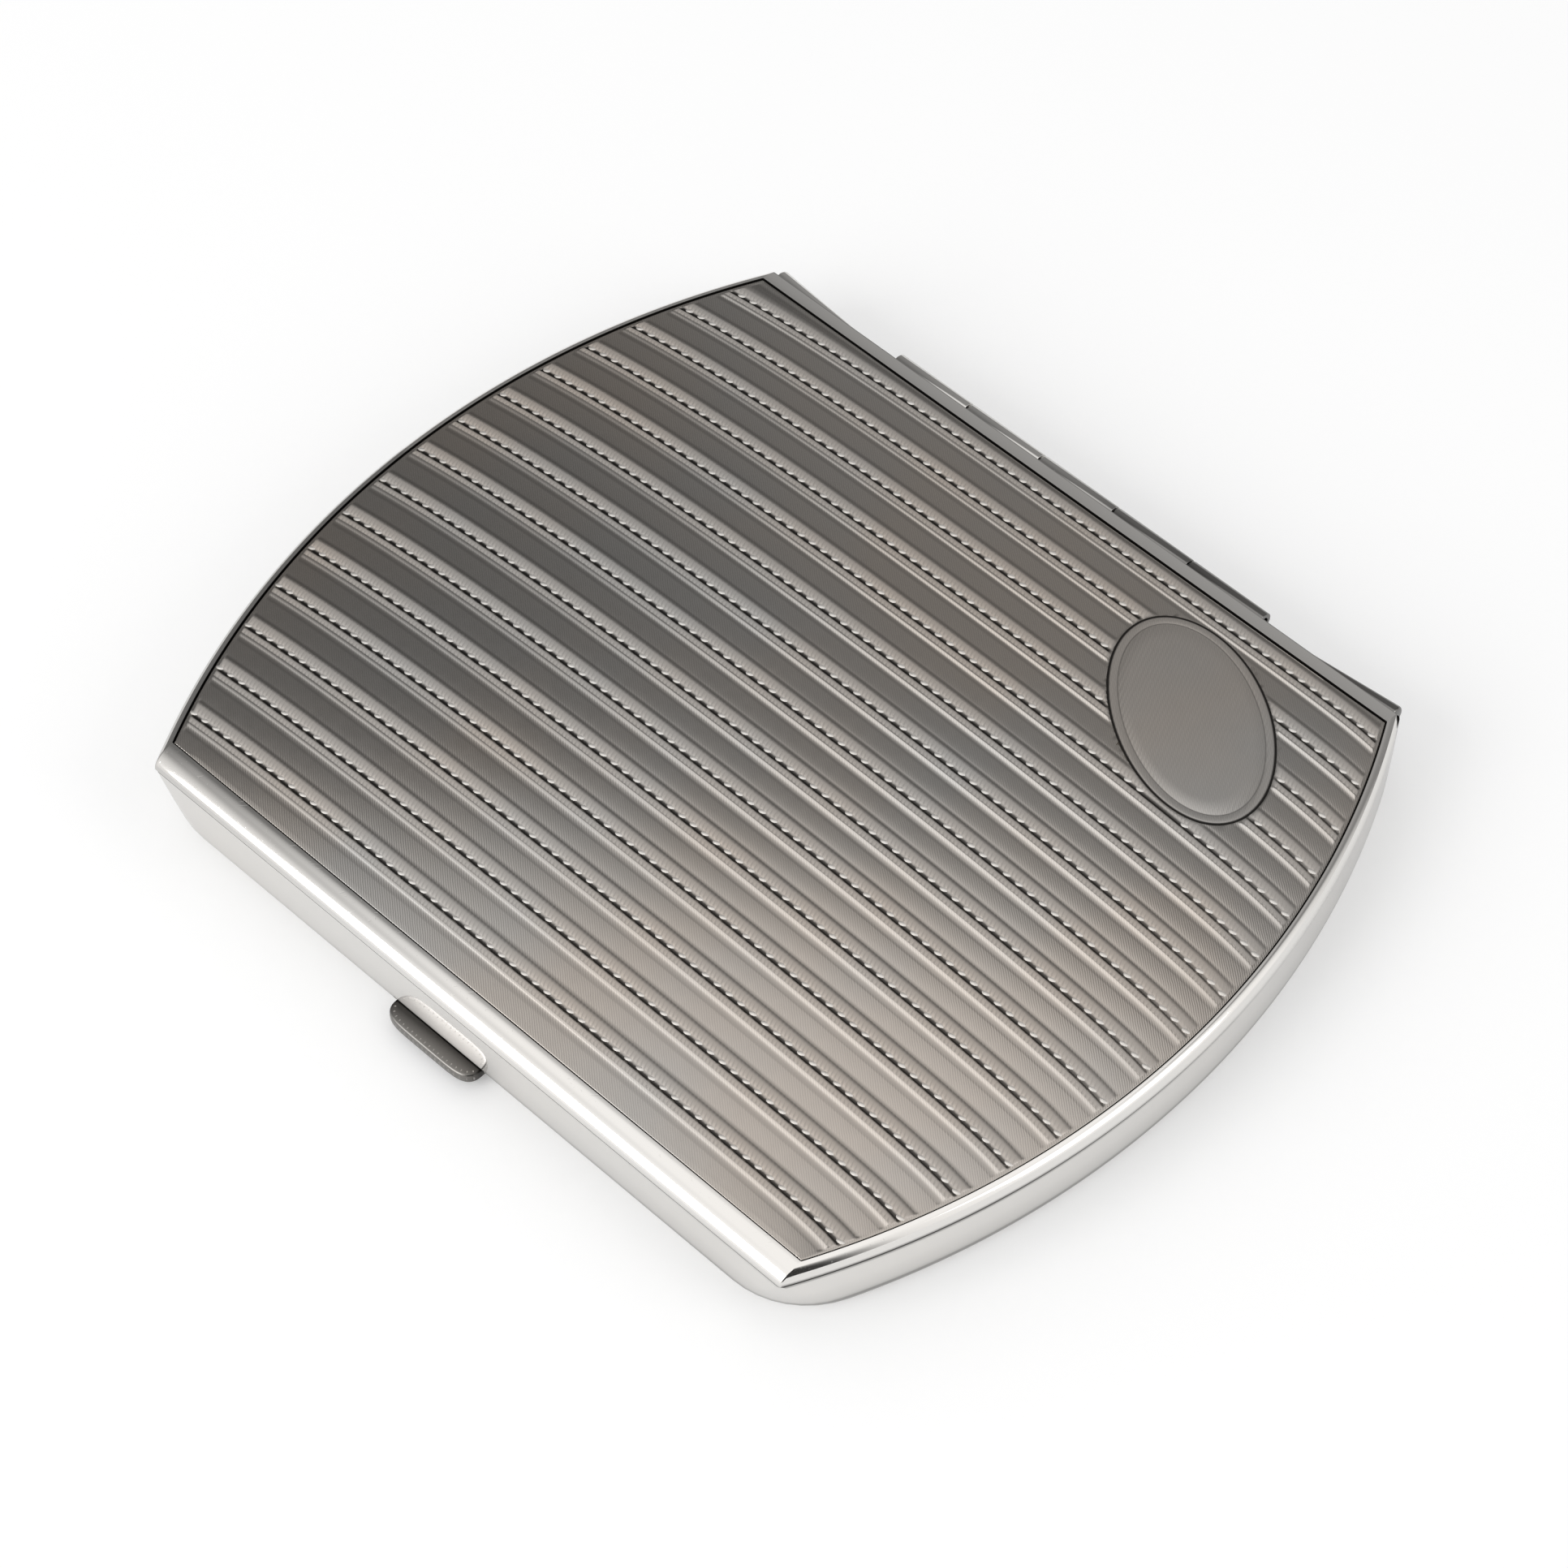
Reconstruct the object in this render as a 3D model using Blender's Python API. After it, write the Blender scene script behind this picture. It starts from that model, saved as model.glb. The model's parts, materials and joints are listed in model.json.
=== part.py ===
"""Silver cigarette case with bowed ends, a pillow-shaped lid plate and a sprung thumb-piece.

X runs along the hinge, Y from the catch to the hinge and Z up. The origin is the middle of
the flat underside. The case is closed and empty, with one elastic band across the base.
Metres throughout.
"""

from math import atan2, cos, pi, radians, sin, sqrt

import bmesh
import bpy
from mathutils import Vector

# Plan of the case, seen from above
CASE_DEPTH = 0.0780
CORNER_HALF_LENGTH = 0.0369
END_BULGE = 0.0100

# Sheet and clearances
SEAT_GAP = 0.00025
SEAM_GAP = 0.00015
FLOOR_GAP = 0.00005
MIN_CORNER_RADIUS = 0.00025
CUT_OVERRUN = 0.0010

# Lid frame and its engine-turned plate
LID_EDGE_HEIGHT = 0.0015
LID_SIDE_BORDER = 0.0025
LID_END_BORDER = 0.00115
LID_WALL = 0.0006
LID_CORNER_RADIUS = 0.0004
LID_LEDGE_WIDTH = 0.0011
LID_LEDGE_SHEET = 0.00025
LID_PLATE_SHEET = 0.00045
LID_PLATE_SEAT = 0.00015
LID_CROWN = 0.0030
PLATE_JOINT = 0.0003
CROWN_LENGTH_POWER = 2.3
CROWN_DEPTH_POWER = 2.15

# Base frame and its plate
BASE_HEIGHT = 0.0069
BASE_ROLL_HEIGHT = 0.0024
BASE_WALL = 0.0007
BASE_SIDE_BORDER = 0.0030
BASE_END_BORDER = 0.0022
BASE_TOP_CORNER_RADIUS = 0.0004
BASE_LOW_CORNER_RADIUS = 0.0080
BASE_FOOT_CORNER_RADIUS = 0.0100
BASE_PLATE_SHEET = 0.0005
BASE_PLATE_SEAT = 0.00015
BASE_LEDGE_WIDTH = 0.00115
BASE_LEDGE_SHEET = 0.0003

# Lip that the lid closes over
LIP_SHEET = 0.0005
LIP_RISE = 0.00045
LIP_FOOT_RISE = 0.0039
LIP_BACK_SETBACK = 0.0090

# Hinge
HINGE_INSET = 0.0006
BARREL_RADIUS = 0.00105
BARREL_BORE = 0.0006
BARREL_HALF_LENGTH = 0.0218
KNUCKLE_COUNT = 5
KNUCKLE_GAP = 0.0002
PIN_RADIUS = 0.0004
PIN_RECESS = 0.0001
BASE_BEARER_WIDTH = 0.00185
BASE_BEARER_HEIGHT = 0.00245
LID_BEARER_WIDTH = 0.0021
LID_BEARER_SHEET = 0.0003
STUB_START = 0.0270
STUB_START_RADIUS = 0.00035
STUB_END_SETBACK = 0.0005
STUB_NOSE = 0.0003

# Thumb-piece
THUMB_OFFSET = 0.0024
THUMB_HALF_WIDTH = 0.0052
THUMB_PROTRUSION = 0.00175
THUMB_THICKNESS = 0.0011
THUMB_TOP_RISE = 0.00195
THUMB_SLOT_GAP = 0.0002
THUMB_CHAMFER = 0.00015
THUMB_KNURL_PITCH = 0.0006
THUMB_KNURL_DEPTH = 0.00012
THUMB_FLANGE_SHEET = 0.00055
THUMB_FLANGE_OVERLAP = 0.0010
THUMB_FLANGE_TOP_RISE = 0.0029
THUMB_FLANGE_BOTTOM_RISE = 0.0012
THUMB_FLANGE_INSET = 0.0012
THUMB_TRAVEL = 0.0008
STUD_RADIUS = 0.0004
STUD_HOLE_RADIUS = 0.0006
STUD_SPACING = 0.0030
STUD_RISE = 0.00225

# Catch spring, its anchor and its rivets
SPRING_SHEET = 0.0003
SPRING_TOP_RISE = 0.0032
SPRING_BOTTOM_RISE = 0.0012
SPRING_FREE_OVERHANG = 0.0060
SPRING_LENGTH = 0.0304
ANCHOR_LENGTH = 0.0060
ANCHOR_INSET = 0.0011
ANCHOR_TOP_RISE = 0.0031
ANCHOR_BOTTOM_RISE = 0.0018
RIVET_RADIUS = 0.00035
RIVET_HOLE_RADIUS = 0.00055
RIVET_HEAD_RADIUS = 0.0008
RIVET_HEAD_HEIGHT = 0.0003
RIVET_SPACING = 0.0030
RIVET_RISE = 0.00245
RIVET_SHANK = 0.0007

# Hook on the thumb-piece and striker on the lid
HOOK_WIDTH = 0.0050
HOOK_SHEET = 0.00045
HOOK_BOTTOM_RISE = 0.0013
HOOK_TOP_DROP = 0.0012
NOSE_TOP_DROP = 0.0013
NOSE_TIP_TOP_DROP = 0.0016
NOSE_BOTTOM_DROP = 0.00195
NOSE_INSET = 0.00105
STRIKER_WIDTH = 0.0080
STRIKER_SHEET = 0.0004
STRIKER_INSET = 0.00095
STRIKER_DROP = 0.0026
STRIKER_FOOT_WIDTH = 0.0021
STRIKER_FOOT_SHEET = 0.00035
STRIKER_FOOT_HEIGHT = 0.0001
WINDOW_TOP_DROP = 0.0011
WINDOW_BOTTOM_DROP = 0.0021
WINDOW_SIDE_GAP = 0.00025
STRIKER_SIDE_GAP = 0.0005

# Elastic band and the wire loops that hold it
BAND_WIDTH = 0.0100
BAND_THICKNESS = 0.0007
BAND_TAIL = 0.0052
BAND_TAIL_GAP = 0.0003
LOOP_WIRE_RADIUS = 0.00045
LOOP_WIRE_GAP = 0.0002
LOOP_LENGTH = 0.0124
LOOP_DROP = 0.0016
LOOP_REACH = 0.0032
LOOP_BEND_RADIUS = 0.0008
LOOP_SEAT = 0.0004

# How finely the curves are divided
ARC_PARTS = 18
CORNER_PARTS = 5
STRAIGHT_PARTS = 6
ROLL_PARTS = 6
ROUND_PARTS = 24
BORE_PARTS = 16
CROWN_LENGTH_PARTS = 26
CROWN_DEPTH_PARTS = 22
WRAP_PARTS = 10
BEND_PARTS = 4
KNURL_SAMPLES = 8
THUMB_EDGE_PARTS = 9
THUMB_PLAIN_SHARE = 0.22
THUMB_EDGE_POWER = 6.0
THUMB_CORNER_POWER = 2.4
SHARP_ANGLE = radians(35)

# Derived sizes
HALF_DEPTH = CASE_DEPTH / 2
END_RADIUS = (HALF_DEPTH ** 2 + END_BULGE ** 2) / (2 * END_BULGE)
END_CENTRE = CORNER_HALF_LENGTH + END_BULGE - END_RADIUS
HALF_LENGTH = END_CENTRE + END_RADIUS
SEAM_HALF_GAP = SEAM_GAP / 2
LID_LEDGE_TOP = LID_EDGE_HEIGHT - LID_PLATE_SHEET - LID_PLATE_SEAT
LID_LEDGE_BOTTOM = LID_LEDGE_TOP - LID_LEDGE_SHEET
BASE_STRAIGHT_WALL = BASE_HEIGHT - BASE_ROLL_HEIGHT
BASE_LEDGE_BOTTOM = BASE_HEIGHT - BASE_PLATE_SHEET - BASE_PLATE_SEAT
BASE_LEDGE_TOP = BASE_LEDGE_BOTTOM - BASE_LEDGE_SHEET
LIP_INSET = BASE_WALL + SEAT_GAP
LIP_DEPTH = BASE_HEIGHT - LIP_FOOT_RISE
HINGE_Y = HALF_DEPTH - HINGE_INSET
RELIEF_RADIUS = BARREL_RADIUS + SEAT_GAP
THUMB_X = -THUMB_OFFSET
THUMB_TOP_DROP = BASE_HEIGHT - THUMB_TOP_RISE
THUMB_FLANGE_TOP_DROP = BASE_HEIGHT - THUMB_FLANGE_TOP_RISE
THUMB_FLANGE_BOTTOM_DROP = BASE_HEIGHT - THUMB_FLANGE_BOTTOM_RISE
THUMB_ROOT_INSET = THUMB_FLANGE_INSET + THUMB_FLANGE_SHEET / 2
SLOT_DEPTH = THUMB_ROOT_INSET + THUMB_TRAVEL + SEAT_GAP
STUD_DROP = BASE_HEIGHT - STUD_RISE
SPRING_TOP_DROP = BASE_HEIGHT - SPRING_TOP_RISE
SPRING_BOTTOM_DROP = BASE_HEIGHT - SPRING_BOTTOM_RISE
ANCHOR_TOP_DROP = BASE_HEIGHT - ANCHOR_TOP_RISE
ANCHOR_BOTTOM_DROP = BASE_HEIGHT - ANCHOR_BOTTOM_RISE
RIVET_DROP = BASE_HEIGHT - RIVET_RISE
HOOK_BOTTOM_DROP = BASE_HEIGHT - HOOK_BOTTOM_RISE
SPRING_INSET = THUMB_FLANGE_INSET + THUMB_FLANGE_SHEET + SEAT_GAP
HOOK_INSET = SPRING_INSET + SPRING_SHEET + SEAT_GAP
SPRING_LEFT = THUMB_X - SPRING_FREE_OVERHANG
SPRING_RIGHT = SPRING_LEFT + SPRING_LENGTH
ANCHOR_X = SPRING_RIGHT - ANCHOR_LENGTH / 2
LOOP_X = HALF_LENGTH - LOOP_REACH


def outline(side_inset, end_inset, corner_radius):
    """Points of the plan, drawn in from its long sides and its bowed ends."""
    radius = max(corner_radius, MIN_CORNER_RADIUS)
    reach = END_RADIUS - end_inset - radius
    fillet_y = HALF_DEPTH - side_inset - radius
    fillet_x = END_CENTRE + sqrt(reach ** 2 - fillet_y ** 2)
    sweep = atan2(fillet_y, fillet_x - END_CENTRE)
    right = []
    for i in range(CORNER_PARTS + 1):
        angle = -pi / 2 + (pi / 2 - sweep) * i / CORNER_PARTS
        right.append((fillet_x + radius * cos(angle), -fillet_y + radius * sin(angle)))
    for i in range(1, ARC_PARTS):
        angle = -sweep + 2 * sweep * i / ARC_PARTS
        arc = reach + radius
        right.append((END_CENTRE + arc * cos(angle), arc * sin(angle)))
    for i in range(CORNER_PARTS + 1):
        angle = sweep + (pi / 2 - sweep) * i / CORNER_PARTS
        right.append((fillet_x + radius * cos(angle), fillet_y + radius * sin(angle)))
    edge = fillet_y + radius
    back = []
    for i in range(1, STRAIGHT_PARTS):
        back.append((fillet_x * (1 - 2 * i / STRAIGHT_PARTS), edge))
    left = [(-x, -y) for x, y in right]
    front = [(-x, -y) for x, y in back]
    return right + back + left + front


def end_reach(y, end_inset):
    """Half the length of the plan at one distance from its middle line."""
    return END_CENTRE + sqrt((END_RADIUS - end_inset) ** 2 - y ** 2)


def solid_from(name, points, faces):
    """Object with a closed mesh whose faces point out."""
    mesh = bpy.data.meshes.new(name)
    work = bmesh.new()
    verts = [work.verts.new(point) for point in points]
    for face in faces:
        work.faces.new([verts[i] for i in face])
    bmesh.ops.recalc_face_normals(work, faces=work.faces)
    work.to_mesh(mesh)
    work.free()
    item = bpy.data.objects.new(name, mesh)
    bpy.context.scene.collection.objects.link(item)
    return item


def ring(name, levels):
    """Frame that runs round the plan, from the corners of its cross-section."""
    points = []
    for side_inset, end_inset, height, radius in levels:
        points += [(x, y, height) for x, y in outline(side_inset, end_inset, radius)]
    count = len(points) // len(levels)
    faces = []
    for k in range(len(levels)):
        here = k * count
        there = (k + 1) % len(levels) * count
        for i in range(count):
            j = (i + 1) % count
            faces.append((here + i, here + j, there + j, there + i))
    return solid_from(name, points, faces)


def stack(name, layers):
    """Solid through closed outlines of equal counts, one above the other."""
    points = []
    for layer in layers:
        points += layer
    count = len(layers[0])
    faces = [tuple(range(count)), tuple(range(len(points) - count, len(points)))]
    for k in range(len(layers) - 1):
        here = k * count
        there = here + count
        for i in range(count):
            j = (i + 1) % count
            faces.append((here + i, here + j, there + j, there + i))
    return solid_from(name, points, faces)


def bar(name, section, start, end):
    """Section in Y and Z, drawn along X."""
    return stack(name, [[(x, y, z) for y, z in section] for x in (start, end)])


def block(name, low, high):
    """Box between two corners."""
    low_x, low_y, low_z = low
    high_x, high_y, high_z = high
    section = [(low_y, low_z), (high_y, low_z), (high_y, high_z), (low_y, high_z)]
    return bar(name, section, low_x, high_x)


def circle(radius, parts, centre=(0.0, 0.0)):
    """Points of a circle."""
    middle_a, middle_b = centre
    points = []
    for i in range(parts):
        angle = 2 * pi * i / parts
        points.append((middle_a + radius * cos(angle), middle_b + radius * sin(angle)))
    return points


def rod(name, radius, start, end, axis, parts=ROUND_PARTS):
    """Round rod along the X or the Y axis."""
    layers = []
    for along in (start, end):
        if axis == "X":
            layers.append([(along, a, b) for a, b in circle(radius, parts)])
        else:
            layers.append([(a, along, b) for a, b in circle(radius, parts)])
    return stack(name, layers)


def tube(name, outer_radius, inner_radius, half_length):
    """Round tube along X, about its own middle."""
    points = []
    rims = (
        (outer_radius, -half_length),
        (outer_radius, half_length),
        (inner_radius, half_length),
        (inner_radius, -half_length),
    )
    for radius, x in rims:
        points += [(x, y, z) for y, z in circle(radius, ROUND_PARTS)]
    faces = []
    for k in range(len(rims)):
        here = k * ROUND_PARTS
        there = (k + 1) % len(rims) * ROUND_PARTS
        for i in range(ROUND_PARTS):
            j = (i + 1) % ROUND_PARTS
            faces.append((here + i, here + j, there + j, there + i))
    return solid_from(name, points, faces)


def change(item, tool, operation):
    """Cut a tool out of an item, or join it on, and keep the tool as a guide."""
    step = item.modifiers.new(tool.name, "BOOLEAN")
    step.operation = operation
    step.solver = "EXACT"
    step.object = tool
    tool.hide_render = True
    tool.display_type = "WIRE"
    return item


def cut(item, tool):
    """Cut a tool out of an item."""
    return change(item, tool, "DIFFERENCE")


def join(item, tool):
    """Join a tool onto an item."""
    return change(item, tool, "UNION")


def finish(item, material, parent, location=(0.0, 0.0, 0.0)):
    """Shade an item, give it its material and place it under its parent."""
    item.data.shade_smooth()
    item.data.set_sharp_from_angle(angle=SHARP_ANGLE)
    item.data.materials.append(material)
    item.parent = parent
    item.location = location
    return item


def guide(item, parent, location=(0.0, 0.0, 0.0)):
    """Place a tool under the parent of the item that it shapes."""
    item.parent = parent
    item.location = location
    return item


def metal(name, colour, roughness):
    """Metal with one colour."""
    material = bpy.data.materials.new(name)
    material.use_nodes = True
    shader = material.node_tree.nodes["Principled BSDF"]
    shader.inputs["Base Color"].default_value = (*colour, 1.0)
    shader.inputs["Metallic"].default_value = 1.0
    shader.inputs["Roughness"].default_value = roughness
    return material


def cloth(name, colour):
    """Woven fabric with one colour."""
    material = bpy.data.materials.new(name)
    material.use_nodes = True
    shader = material.node_tree.nodes["Principled BSDF"]
    shader.inputs["Base Color"].default_value = (*colour, 1.0)
    shader.inputs["Roughness"].default_value = 0.9
    return material


def frame_empty(name, parent, location):
    """Empty that carries a group of pieces."""
    item = bpy.data.objects.new(name, None)
    bpy.context.scene.collection.objects.link(item)
    item.parent = parent
    item.location = location
    return item


def lid_roll(height):
    """How far the lid's edge has rolled in at a height, from 0 to 1."""
    rise = (height - SEAM_HALF_GAP) / (LID_EDGE_HEIGHT - SEAM_HALF_GAP)
    return 1 - sqrt(max(1 - rise ** 2, 0))


def base_roll(drop):
    """How far the base's edge has rolled in at a drop below the seam, from 0 to 1."""
    bottom = BASE_HEIGHT - FLOOR_GAP
    fall = (drop - BASE_STRAIGHT_WALL) / (bottom - BASE_STRAIGHT_WALL)
    return 1 - sqrt(max(1 - max(fall, 0) ** 2, 0))


def base_corner(drop):
    """Radius of the base's outer corners at a drop below the seam."""
    if drop <= BASE_STRAIGHT_WALL:
        share = max(drop, 0) / BASE_STRAIGHT_WALL
        return BASE_TOP_CORNER_RADIUS + (BASE_LOW_CORNER_RADIUS - BASE_TOP_CORNER_RADIUS) * share
    share = (drop - BASE_STRAIGHT_WALL) / (BASE_HEIGHT - BASE_STRAIGHT_WALL)
    return BASE_LOW_CORNER_RADIUS + (BASE_FOOT_CORNER_RADIUS - BASE_LOW_CORNER_RADIUS) * share


def lid_frame(silver, parent, seam):
    """Polished frame of the lid, mitred at its corners and relieved along the hinge."""
    side_roll = LID_SIDE_BORDER - PLATE_JOINT / 2
    end_roll = LID_END_BORDER - PLATE_JOINT / 2
    levels = []
    for i in range(ROLL_PARTS + 1):
        turn = pi / 2 * i / ROLL_PARTS
        height = SEAM_HALF_GAP + (LID_EDGE_HEIGHT - SEAM_HALF_GAP) * sin(turn)
        roll = 1 - cos(turn)
        levels.append((side_roll * roll, end_roll * roll, height, LID_CORNER_RADIUS * (1 - roll)))
    ledge_side = LID_SIDE_BORDER + LID_LEDGE_WIDTH
    ledge_end = LID_END_BORDER + LID_LEDGE_WIDTH
    inner_side = side_roll * lid_roll(LID_LEDGE_BOTTOM) + LID_WALL
    inner_end = end_roll * lid_roll(LID_LEDGE_BOTTOM) + LID_WALL
    levels.append((side_roll, end_roll, LID_LEDGE_TOP, 0.0))
    levels.append((ledge_side, ledge_end, LID_LEDGE_TOP, 0.0))
    levels.append((ledge_side, ledge_end, LID_LEDGE_BOTTOM, 0.0))
    levels.append((inner_side, inner_end, LID_LEDGE_BOTTOM, 0.0))
    levels.append((LID_WALL, LID_WALL, SEAM_HALF_GAP, 0.0))
    frame = ring("lid_rim", levels)
    reach = HALF_LENGTH + CUT_OVERRUN
    relief = rod("lid_hinge_relief", RELIEF_RADIUS, -reach, reach, "X")
    cut(frame, guide(relief, parent))
    return finish(frame, silver, parent, seam)


def lid_plate(turned_silver, parent, seam):
    """Thin pressed plate, crowned like a pillow and let into the lid's frame."""
    side_inset = LID_SIDE_BORDER + PLATE_JOINT / 2
    end_inset = LID_END_BORDER + PLATE_JOINT / 2
    half = HALF_DEPTH - side_inset
    points = []
    for sheet in (0.0, LID_PLATE_SHEET):
        for j in range(CROWN_DEPTH_PARTS + 1):
            v = sin(pi / 2 * (2 * j / CROWN_DEPTH_PARTS - 1))
            y = half * v
            for i in range(CROWN_LENGTH_PARTS + 1):
                u = sin(pi / 2 * (2 * i / CROWN_LENGTH_PARTS - 1))
                rise = 1 - abs(u) ** CROWN_LENGTH_POWER
                rise *= 1 - abs(v) ** CROWN_DEPTH_POWER
                x = u * end_reach(y, end_inset)
                points.append((x, y, LID_EDGE_HEIGHT + LID_CROWN * rise - sheet))
    row = CROWN_LENGTH_PARTS + 1
    layer = row * (CROWN_DEPTH_PARTS + 1)
    faces = []
    for j in range(CROWN_DEPTH_PARTS):
        for i in range(CROWN_LENGTH_PARTS):
            a = j * row + i
            faces.append((a, a + 1, a + row + 1, a + row))
            faces.append((layer + a, layer + a + row, layer + a + row + 1, layer + a + 1))
    border = list(range(row))
    border += [row - 1 + row * j for j in range(1, CROWN_DEPTH_PARTS + 1)]
    border += [layer - 1 - i for i in range(1, row)]
    border += [layer - row - row * j for j in range(1, CROWN_DEPTH_PARTS)]
    for a, b in zip(border, border[1:] + border[:1]):
        faces.append((a, layer + a, layer + b, b))
    return finish(solid_from("lid_plate", points, faces), turned_silver, parent, seam)


def base_frame(silver, parent, seam):
    """Polished frame of the base, with the thumb slot, the barrel's seat and the corner stubs."""
    side_roll = BASE_SIDE_BORDER - PLATE_JOINT / 2
    end_roll = BASE_END_BORDER - PLATE_JOINT / 2
    bottom = BASE_HEIGHT - FLOOR_GAP
    levels = [(0.0, 0.0, -SEAM_HALF_GAP, BASE_TOP_CORNER_RADIUS)]
    for i in range(ROLL_PARTS + 1):
        turn = pi / 2 * i / ROLL_PARTS
        drop = BASE_STRAIGHT_WALL + (bottom - BASE_STRAIGHT_WALL) * sin(turn)
        roll = 1 - cos(turn)
        levels.append((side_roll * roll, end_roll * roll, -drop, base_corner(drop)))
    ledge_side = BASE_SIDE_BORDER + BASE_LEDGE_WIDTH
    ledge_end = BASE_END_BORDER + BASE_LEDGE_WIDTH
    levels.append((side_roll, end_roll, -BASE_LEDGE_BOTTOM, BASE_FOOT_CORNER_RADIUS))
    ledge_radius = BASE_FOOT_CORNER_RADIUS - BASE_LEDGE_WIDTH
    levels.append((ledge_side, ledge_end, -BASE_LEDGE_BOTTOM, ledge_radius))
    levels.append((ledge_side, ledge_end, -BASE_LEDGE_TOP, ledge_radius))
    for drop in (BASE_LEDGE_TOP, (BASE_LEDGE_TOP + BASE_STRAIGHT_WALL) / 2, BASE_STRAIGHT_WALL):
        side = side_roll * base_roll(drop) + BASE_WALL
        end = end_roll * base_roll(drop) + BASE_WALL
        levels.append((side, end, -drop, base_corner(drop) - BASE_WALL))
    top_radius = BASE_TOP_CORNER_RADIUS - BASE_WALL
    levels.append((BASE_WALL, BASE_WALL, -SEAM_HALF_GAP, top_radius))
    frame = ring("base_rim", levels)

    seat_reach = BARREL_HALF_LENGTH + SEAT_GAP
    seat = rod("barrel_seat", RELIEF_RADIUS, -seat_reach, seat_reach, "X")
    cut(frame, guide(seat, parent, seam + Vector((0.0, HINGE_Y, 0.0))))

    slot_half = THUMB_HALF_WIDTH + THUMB_SLOT_GAP
    slot = block(
        "thumb_slot",
        (-slot_half, -HALF_DEPTH - CUT_OVERRUN, -THUMB_TOP_DROP - THUMB_THICKNESS - THUMB_SLOT_GAP),
        (slot_half, -HALF_DEPTH + SLOT_DEPTH, -THUMB_TOP_DROP + THUMB_SLOT_GAP),
    )
    cut(frame, guide(slot, parent, seam + Vector((THUMB_X, 0.0, 0.0))))

    end = CORNER_HALF_LENGTH - STUB_END_SETBACK
    for side, label in ((-1, "left"), (1, "right")):
        layers = []
        shape = (
            (STUB_START, STUB_START_RADIUS),
            (end, BARREL_RADIUS),
            (end + STUB_NOSE, BARREL_RADIUS - STUB_NOSE),
        )
        for x, radius in shape:
            layers.append([(side * x, y, z) for y, z in circle(radius, BORE_PARTS)])
        stub = stack("corner_stub_" + label, layers)
        join(frame, guide(stub, parent, seam + Vector((0.0, HINGE_Y, 0.0))))
    return finish(frame, silver, parent, seam)


def base_plate(turned_silver, parent, seam):
    """Flat plate let into the base's frame, which the case lies on."""
    side_inset = BASE_SIDE_BORDER + PLATE_JOINT / 2
    end_inset = BASE_END_BORDER + PLATE_JOINT / 2
    plan = outline(side_inset, end_inset, BASE_FOOT_CORNER_RADIUS - PLATE_JOINT)
    layers = []
    for drop in (BASE_HEIGHT, BASE_HEIGHT - BASE_PLATE_SHEET):
        layers.append([(x, y, -drop) for x, y in plan])
    return finish(stack("base_plate", layers), turned_silver, parent, seam)


def base_lips(gilt, parent, seam):
    """Upright lips inside the front and the ends, clear of the hinge and of the striker."""
    levels = []
    corners = (
        (LIP_INSET, LIP_DEPTH),
        (LIP_INSET, SEAM_HALF_GAP),
        (LIP_INSET, -LIP_RISE),
        (LIP_INSET + LIP_SHEET, -LIP_RISE),
        (LIP_INSET + LIP_SHEET, SEAM_HALF_GAP),
        (LIP_INSET + LIP_SHEET, LIP_DEPTH),
    )
    for inset, drop in corners:
        levels.append((inset, inset, -drop, base_corner(drop) - inset))
    reach = HALF_LENGTH + CUT_OVERRUN
    low = -LIP_DEPTH - CUT_OVERRUN
    high = LIP_RISE + CUT_OVERRUN
    back_y = HALF_DEPTH - LIP_BACK_SETBACK
    half = STRIKER_WIDTH / 2 + STRIKER_SIDE_GAP
    spans = (("left", THUMB_X - half, reach), ("right", -reach, THUMB_X + half))
    for label, start, end in spans:
        lip = ring("base_lip_" + label, levels)
        back_low = (-reach, back_y, low)
        back_high = (reach, HALF_DEPTH + CUT_OVERRUN, high)
        cut(lip, guide(block("lip_back_cut_" + label, back_low, back_high), parent, seam))
        side_low = (start, -HALF_DEPTH, low)
        side_high = (end, HALF_DEPTH + 2 * CUT_OVERRUN, high + CUT_OVERRUN)
        cut(lip, guide(block("lip_side_cut_" + label, side_low, side_high), parent, seam))
        finish(lip, gilt, parent, seam)


def relief_side(height):
    """Where the round relief about the hinge pin crosses a height."""
    return -sqrt(RELIEF_RADIUS ** 2 - height ** 2)


def hinge_bearers(gilt, base, lid, axis):
    """Strips along the back that carry the knuckles of the base and of the lid."""
    half = BARREL_HALF_LENGTH
    outer = -HINGE_INSET + BASE_WALL + SEAT_GAP
    base_section = [(-outer - BASE_BEARER_WIDTH, -SEAM_GAP)]
    start = atan2(-SEAM_GAP, relief_side(SEAM_GAP))
    end = atan2(-sqrt(RELIEF_RADIUS ** 2 - outer ** 2), -outer)
    for i in range(WRAP_PARTS + 1):
        angle = start + (end - start) * i / WRAP_PARTS
        base_section.append((RELIEF_RADIUS * cos(angle), RELIEF_RADIUS * sin(angle)))
    base_section.append((-outer, -SEAM_GAP - BASE_BEARER_HEIGHT))
    base_section.append((-outer - BASE_BEARER_WIDTH, -SEAM_GAP - BASE_BEARER_HEIGHT))
    finish(bar("base_bearer", base_section, -half, half), gilt, base, axis)

    top = LID_LEDGE_BOTTOM - SEAT_GAP
    bottom = top - LID_BEARER_SHEET
    lid_section = [
        (relief_side(bottom), bottom),
        (relief_side(top), top),
        (relief_side(bottom) - LID_BEARER_WIDTH, top),
        (relief_side(bottom) - LID_BEARER_WIDTH, bottom),
    ]
    finish(bar("lid_bearer", lid_section, -half, half), gilt, lid)


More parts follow.
